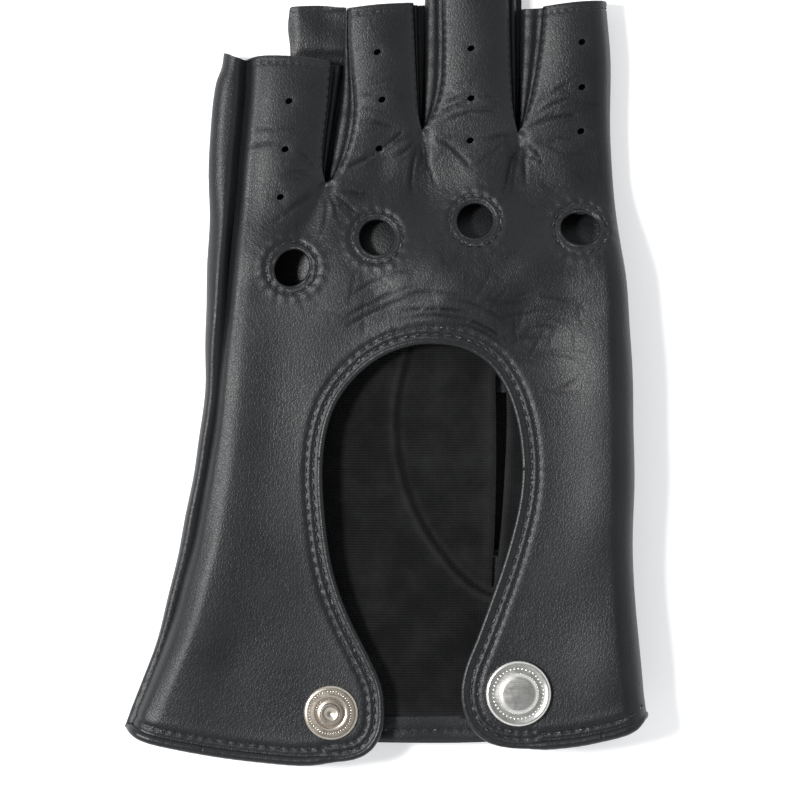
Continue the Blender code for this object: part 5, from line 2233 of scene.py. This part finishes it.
@dataclass(frozen=True)
class Thumb:
    """The thumb, folded flat under the palm: two leaves sewn round their edge."""

    x: float = 26.0
    y: float = -24.0
    base: float = 21.0
    hole: float = 18.2
    half: float = 13.5
    reach: float = 48.0
    height: float = 6.0

    def outline(self) -> np.ndarray:
        """Edge of both leaves.

        Returns:
            Its corners, anticlockwise.
        """
        start = math.acos(self.half / self.base)
        a = np.linspace(math.pi - start, math.tau + start, 90)
        arc = np.column_stack([self.x + self.base * np.cos(a), self.y + self.base * np.sin(a)])
        end = self.y + self.reach
        right = straight(1.0, arc[-1], (self.x + self.half, end))[1:]
        tip = straight(1.0, (self.x + self.half, end), (self.x - self.half, end))[1:]
        left = straight(1.0, (self.x - self.half, end), arc[0])[1:-1]
        return np.vstack([arc, right, tip, left])

    def build(self, finishes: Finishes) -> None:
        """Make the two leaves.

        Args:
            finishes: The glove's finishes.
        """
        outline = self.outline()
        end = self.y + self.reach
        rolled = Nearest(outline[outline[:, 1] < end - 0.2])
        middle = self.height / 2
        hole = ring(self.x, self.y, self.hole, self.hole, 0.9)
        for node, sign, holes in (("thumb_lower_leaf", -1, ()), ("thumb_upper_leaf", 1, (hole,))):
            cut = Cut.make(outline, holes, (), 1.0)
            near, _ = rolled(cut.points)
            share = np.clip(near / middle, 0, 1)
            rise = (middle - 0.15) * np.sqrt(1 - (1 - share) ** 2) + 0.12
            x, y = cut.points.T
            soft = 0.12 * (1 + np.sin(x / 4.2 + y / 6.0)) * smooth(near / 4)
            z = middle + sign * np.clip(rise - soft, 0.1, None)
            skin = Skin(cut, np.column_stack([cut.points, z]), 0.7, faces_down=sign < 0)
            settle(skin.piece("leather_" + node, finishes.leather), Body.THUMB, node)


@dataclass(frozen=True)
class SnapHalf:
    """One half of the press fastener: on its flap's leather, tilted as the leather is."""

    x: float
    y: float
    body: Body

    def keep(self, name: str, shape: tuple, finish: Material, node: str | None = None) -> None:
        """Set a piece down on the flap and let it ride there.

        Args:
            name: Name of the piece.
            shape: Its corners and faces, round the middle of the snap.
            finish: Its finish.
            node: Node that it stands for, if any.
        """
        tilt = -math.atan((FORM.top_right - FORM.top_left) / FORM.slope_width)
        turn = np.array(Matrix.Rotation(tilt, 3, "Y"))
        seat = FORM.top(np.array([self.x]), np.array([self.y]))[0]
        points, faces = shape
        piece = make_piece(name, points @ turn.T + (self.x, self.y, seat), faces, finish, rest=points)
        piece.data.set_sharp_from_angle(angle=math.radians(38))
        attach(piece, self.body.value)
        if node:
            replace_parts(piece, node)


@dataclass(frozen=True)
class BeadRing:
    """A ring of small rounded beads."""

    count: int
    radius: float
    height: float
    size: tuple
    levels: int = 4
    sides: int = 8

    def shape(self) -> tuple[np.ndarray, list]:
        """All beads as one mesh.

        Returns:
            Corners and faces.
        """
        rise = np.repeat(np.linspace(0, math.pi / 2, self.levels), self.sides)
        around = np.tile(np.arange(self.sides) * math.tau / self.sides, self.levels)
        u = self.radius + self.size[0] * np.cos(rise) * np.cos(around)
        v = self.size[1] * np.cos(rise) * np.sin(around)
        z = self.height + self.size[2] * np.sin(rise)
        points, faces = [], []
        for i in range(self.count):
            c, s = math.cos(i * math.tau / self.count), math.sin(i * math.tau / self.count)
            points.append(np.column_stack([u * c - v * s, u * s + v * c, z]))
            for j in range(self.levels - 1):
                low = (i * self.levels + j) * self.sides
                for k in range(self.sides):
                    m = (k + 1) % self.sides
                    faces.append((low + k, low + m, low + self.sides + m, low + self.sides + k))
        return np.vstack(points), faces


@dataclass(frozen=True)
class Snap:
    """Press stud with its backing eyelet on one flap, and cap with socket and spring on the other."""

    stud: SnapHalf = SnapHalf(-13.1, -79.4, Body.STUD_FLAP)
    cap: SnapHalf = SnapHalf(29.9, -74.8, Body.CAP_FLAP)
    knurl: BeadRing = BeadRing(48, 4.85, 0.86, (0.42, 0.13, 0.12))
    cap_beads: BeadRing = BeadRing(40, 5.75, 1.18, (0.24, 0.24, 0.16))
    spring_radius: float = 3.85
    spring_height: float = -2.95

    def build_stud(self, finish: Material) -> None:
        """The stud: ridged flange with a knurled ring, a post with a dimple, and its back plate.

        Args:
            finish: Its finish.
        """
        profile = [
            (0.0, 2.55), (0.75, 2.6), (1.15, 2.85), (1.7, 3.05), (2.15, 3.0), (2.42, 2.7), (2.45, 2.3),
            (2.15, 1.7), (2.1, 1.2), (2.5, 0.95), (3.1, 0.92), (3.35, 1.12), (3.75, 1.15), (4.0, 0.9),
            (4.4, 0.88), (5.3, 0.82), (5.7, 0.85), (6.0, 0.72), (6.25, 0.4), (6.2, 0.1), (5.9, -0.15),
            (2.0, -0.15), (2.0, -1.9), (0.0, -1.9),
        ]
        self.stud.keep("snap_stud_turned", lathe(profile), finish, "snap_stud")
        self.stud.keep("snap_stud_knurl", self.knurl.shape(), finish)
        back = [(2.2, -1.95), (5.3, -1.95), (5.5, -2.1), (5.2, -2.4), (2.2, -2.4), (2.2, -1.95)]
        self.stud.keep("snap_stud_back_plate", lathe(back), finish, "snap_stud_eyelet")

    def build_cap(self, finish: Material) -> None:
        """The cap, with a domed rim, beads and a raised middle, and its socket.

        Args:
            finish: Their finish.
        """
        profile = [
            (0.0, 2.12), (3.4, 2.1), (4.1, 2.02), (4.42, 1.8), (4.5, 1.45), (4.7, 1.25), (5.2, 1.2),
            (6.4, 1.16), (6.75, 1.3), (7.1, 1.28), (7.45, 1.0), (7.6, 0.6), (7.5, 0.15), (7.1, -0.12),
            (2.2, -0.12), (2.2, -1.9), (0.0, -1.9),
        ]
        self.cap.keep("snap_cap_turned", lathe(profile), finish, "snap_cap")
        self.cap.keep("snap_cap_beads", self.cap_beads.shape(), finish)
        socket = [
            (2.4, -1.95), (5.4, -1.95), (5.6, -2.2), (5.5, -3.5), (5.2, -3.7), (3.1, -3.7), (3.1, -3.3),
            (4.9, -3.3), (5.0, -2.6), (2.4, -2.5), (2.4, -1.95),
        ]
        self.cap.keep("snap_socket_turned", lathe(socket), finish, "snap_socket")

    def build_spring(self, finish: Material) -> None:
        """The spring ring in the socket, open at one side.

        Args:
            finish: Its finish.
        """
        a = np.radians(20 + 320 * np.arange(40) / 39)
        circle = np.column_stack([self.spring_radius * np.cos(a), self.spring_radius * np.sin(a)])
        line = np.column_stack([circle, np.full(len(a), self.spring_height)])
        points, faces, _ = sweep(line, 0.2, 0.2, 8)
        self.cap.keep("snap_spring_wire", (points, faces), finish, "snap_spring")

    def build(self, finishes: Finishes) -> None:
        """Make both halves."""
        self.build_stud(finishes.nickel)
        self.build_cap(finishes.silver)
        self.build_spring(finishes.steel)


# ------------------------------------------------------------------ studio


@dataclass(frozen=True)
class Studio:
    """Pale table, a soft window light from the left, and a camera straight above."""

    centre: tuple = (2.76, -7.59, 11.0)
    width: float = 184.0
    camera_height: float = 900.0
    window_place: tuple = (-600, 60, 920)
    window_size: float = 190.0
    window_watts: float = 11.0
    floor_glow: float = 0.36

    def window(self) -> None:
        """The window: a rectangular soft light aimed at the glove."""
        data = bpy.data.lights.new("window", "AREA")
        data.shape = "RECTANGLE"
        data.size = data.size_y = self.window_size * MM
        data.energy = self.window_watts
        lamp = bpy.data.objects.new("window", data)
        bpy.context.scene.collection.objects.link(lamp)
        lamp.location = Vector(self.window_place) * MM
        lamp.rotation_euler = (-lamp.location).to_track_quat("-Z", "Y").to_euler()

    def floor(self) -> None:
        """The pale table top."""
        bpy.ops.mesh.primitive_plane_add(size=6, location=(0, 0, -0.0002))
        table = bpy.context.object
        table.name = "table_top"
        n = Nodes("pale_table")
        n.give(Base_Color=(0.93, 0.93, 0.93, 1), Roughness=0.9, Specular_IOR_Level=0.1)
        n.give(Emission_Color=(1, 1, 1, 1), Emission_Strength=self.floor_glow)
        table.data.materials.append(n.material)

    def camera(self) -> None:
        """The camera over the middle of the glove."""
        data = bpy.data.cameras.new("camera")
        data.sensor_width = 36.0
        data.lens = data.sensor_width * (self.camera_height - self.centre[2]) / self.width
        data.clip_start, data.clip_end = 0.01, 20
        camera = bpy.data.objects.new("camera", data)
        bpy.context.scene.collection.objects.link(camera)
        camera.location = Vector((self.centre[0], self.centre[1], self.camera_height)) * MM
        bpy.context.scene.camera = camera

    def sky(self) -> None:
        """The room: pale, and darker straight overhead."""
        world = bpy.data.worlds.new("studio")
        bpy.context.scene.world = world
        world.use_nodes = True
        tree = world.node_tree
        background = tree.nodes["Background"]
        way = tree.nodes.new("ShaderNodeTexCoord")
        apart = tree.nodes.new("ShaderNodeSeparateXYZ")
        shade = tree.nodes.new("ShaderNodeMapRange")
        shade.interpolation_type = "SMOOTHSTEP"
        for k, number in enumerate((0.70, 0.97, 0.85, 0.2), 1):
            shade.inputs[k].default_value = number
        tree.links.new(way.outputs["Generated"], apart.inputs[0])
        tree.links.new(apart.outputs["Z"], shade.inputs[0])
        tree.links.new(shade.outputs[0], background.inputs[1])
        background.inputs[0].default_value = (0.95, 0.98, 1.0, 1)

    def build(self) -> None:
        """Set up the studio."""
        self.floor()
        self.camera()
        self.sky()
        self.window()
        bpy.context.scene.view_settings.view_transform = "Standard"


def main() -> None:
    """Build the glove, sub-assembly by sub-assembly."""
    logging.basicConfig(level=logging.INFO, format="%(message)s")
    finishes = Finishes()
    back = BackLeather(FORM, 0.55)
    log.info("back leather: %d pieces", len(back.build(finishes)))
    palm_pieces = PalmLeather(FORM, 0.8).build(finishes)
    log.info("palm leather: %d pieces", len(palm_pieces))
    sewing = Seamstress(back)
    Edging(back, sewing).build(finishes)
    KnuckleRings(back, sewing).build(finishes)
    log.info("edging and knuckle rings")
    Linings(FORM, back, sewing).build(finishes, palm_pieces[Body.HAND])
    FingerSides(back, FORM).build(finishes)
    log.info("linings and finger sides")
    Thumb().build(finishes)
    Snap().build(finishes)
    sewing.finish(finishes.thread)
    Studio().build()
    log.info("thumb, snap, stitching and studio")


if __name__ == "__main__":
    main()
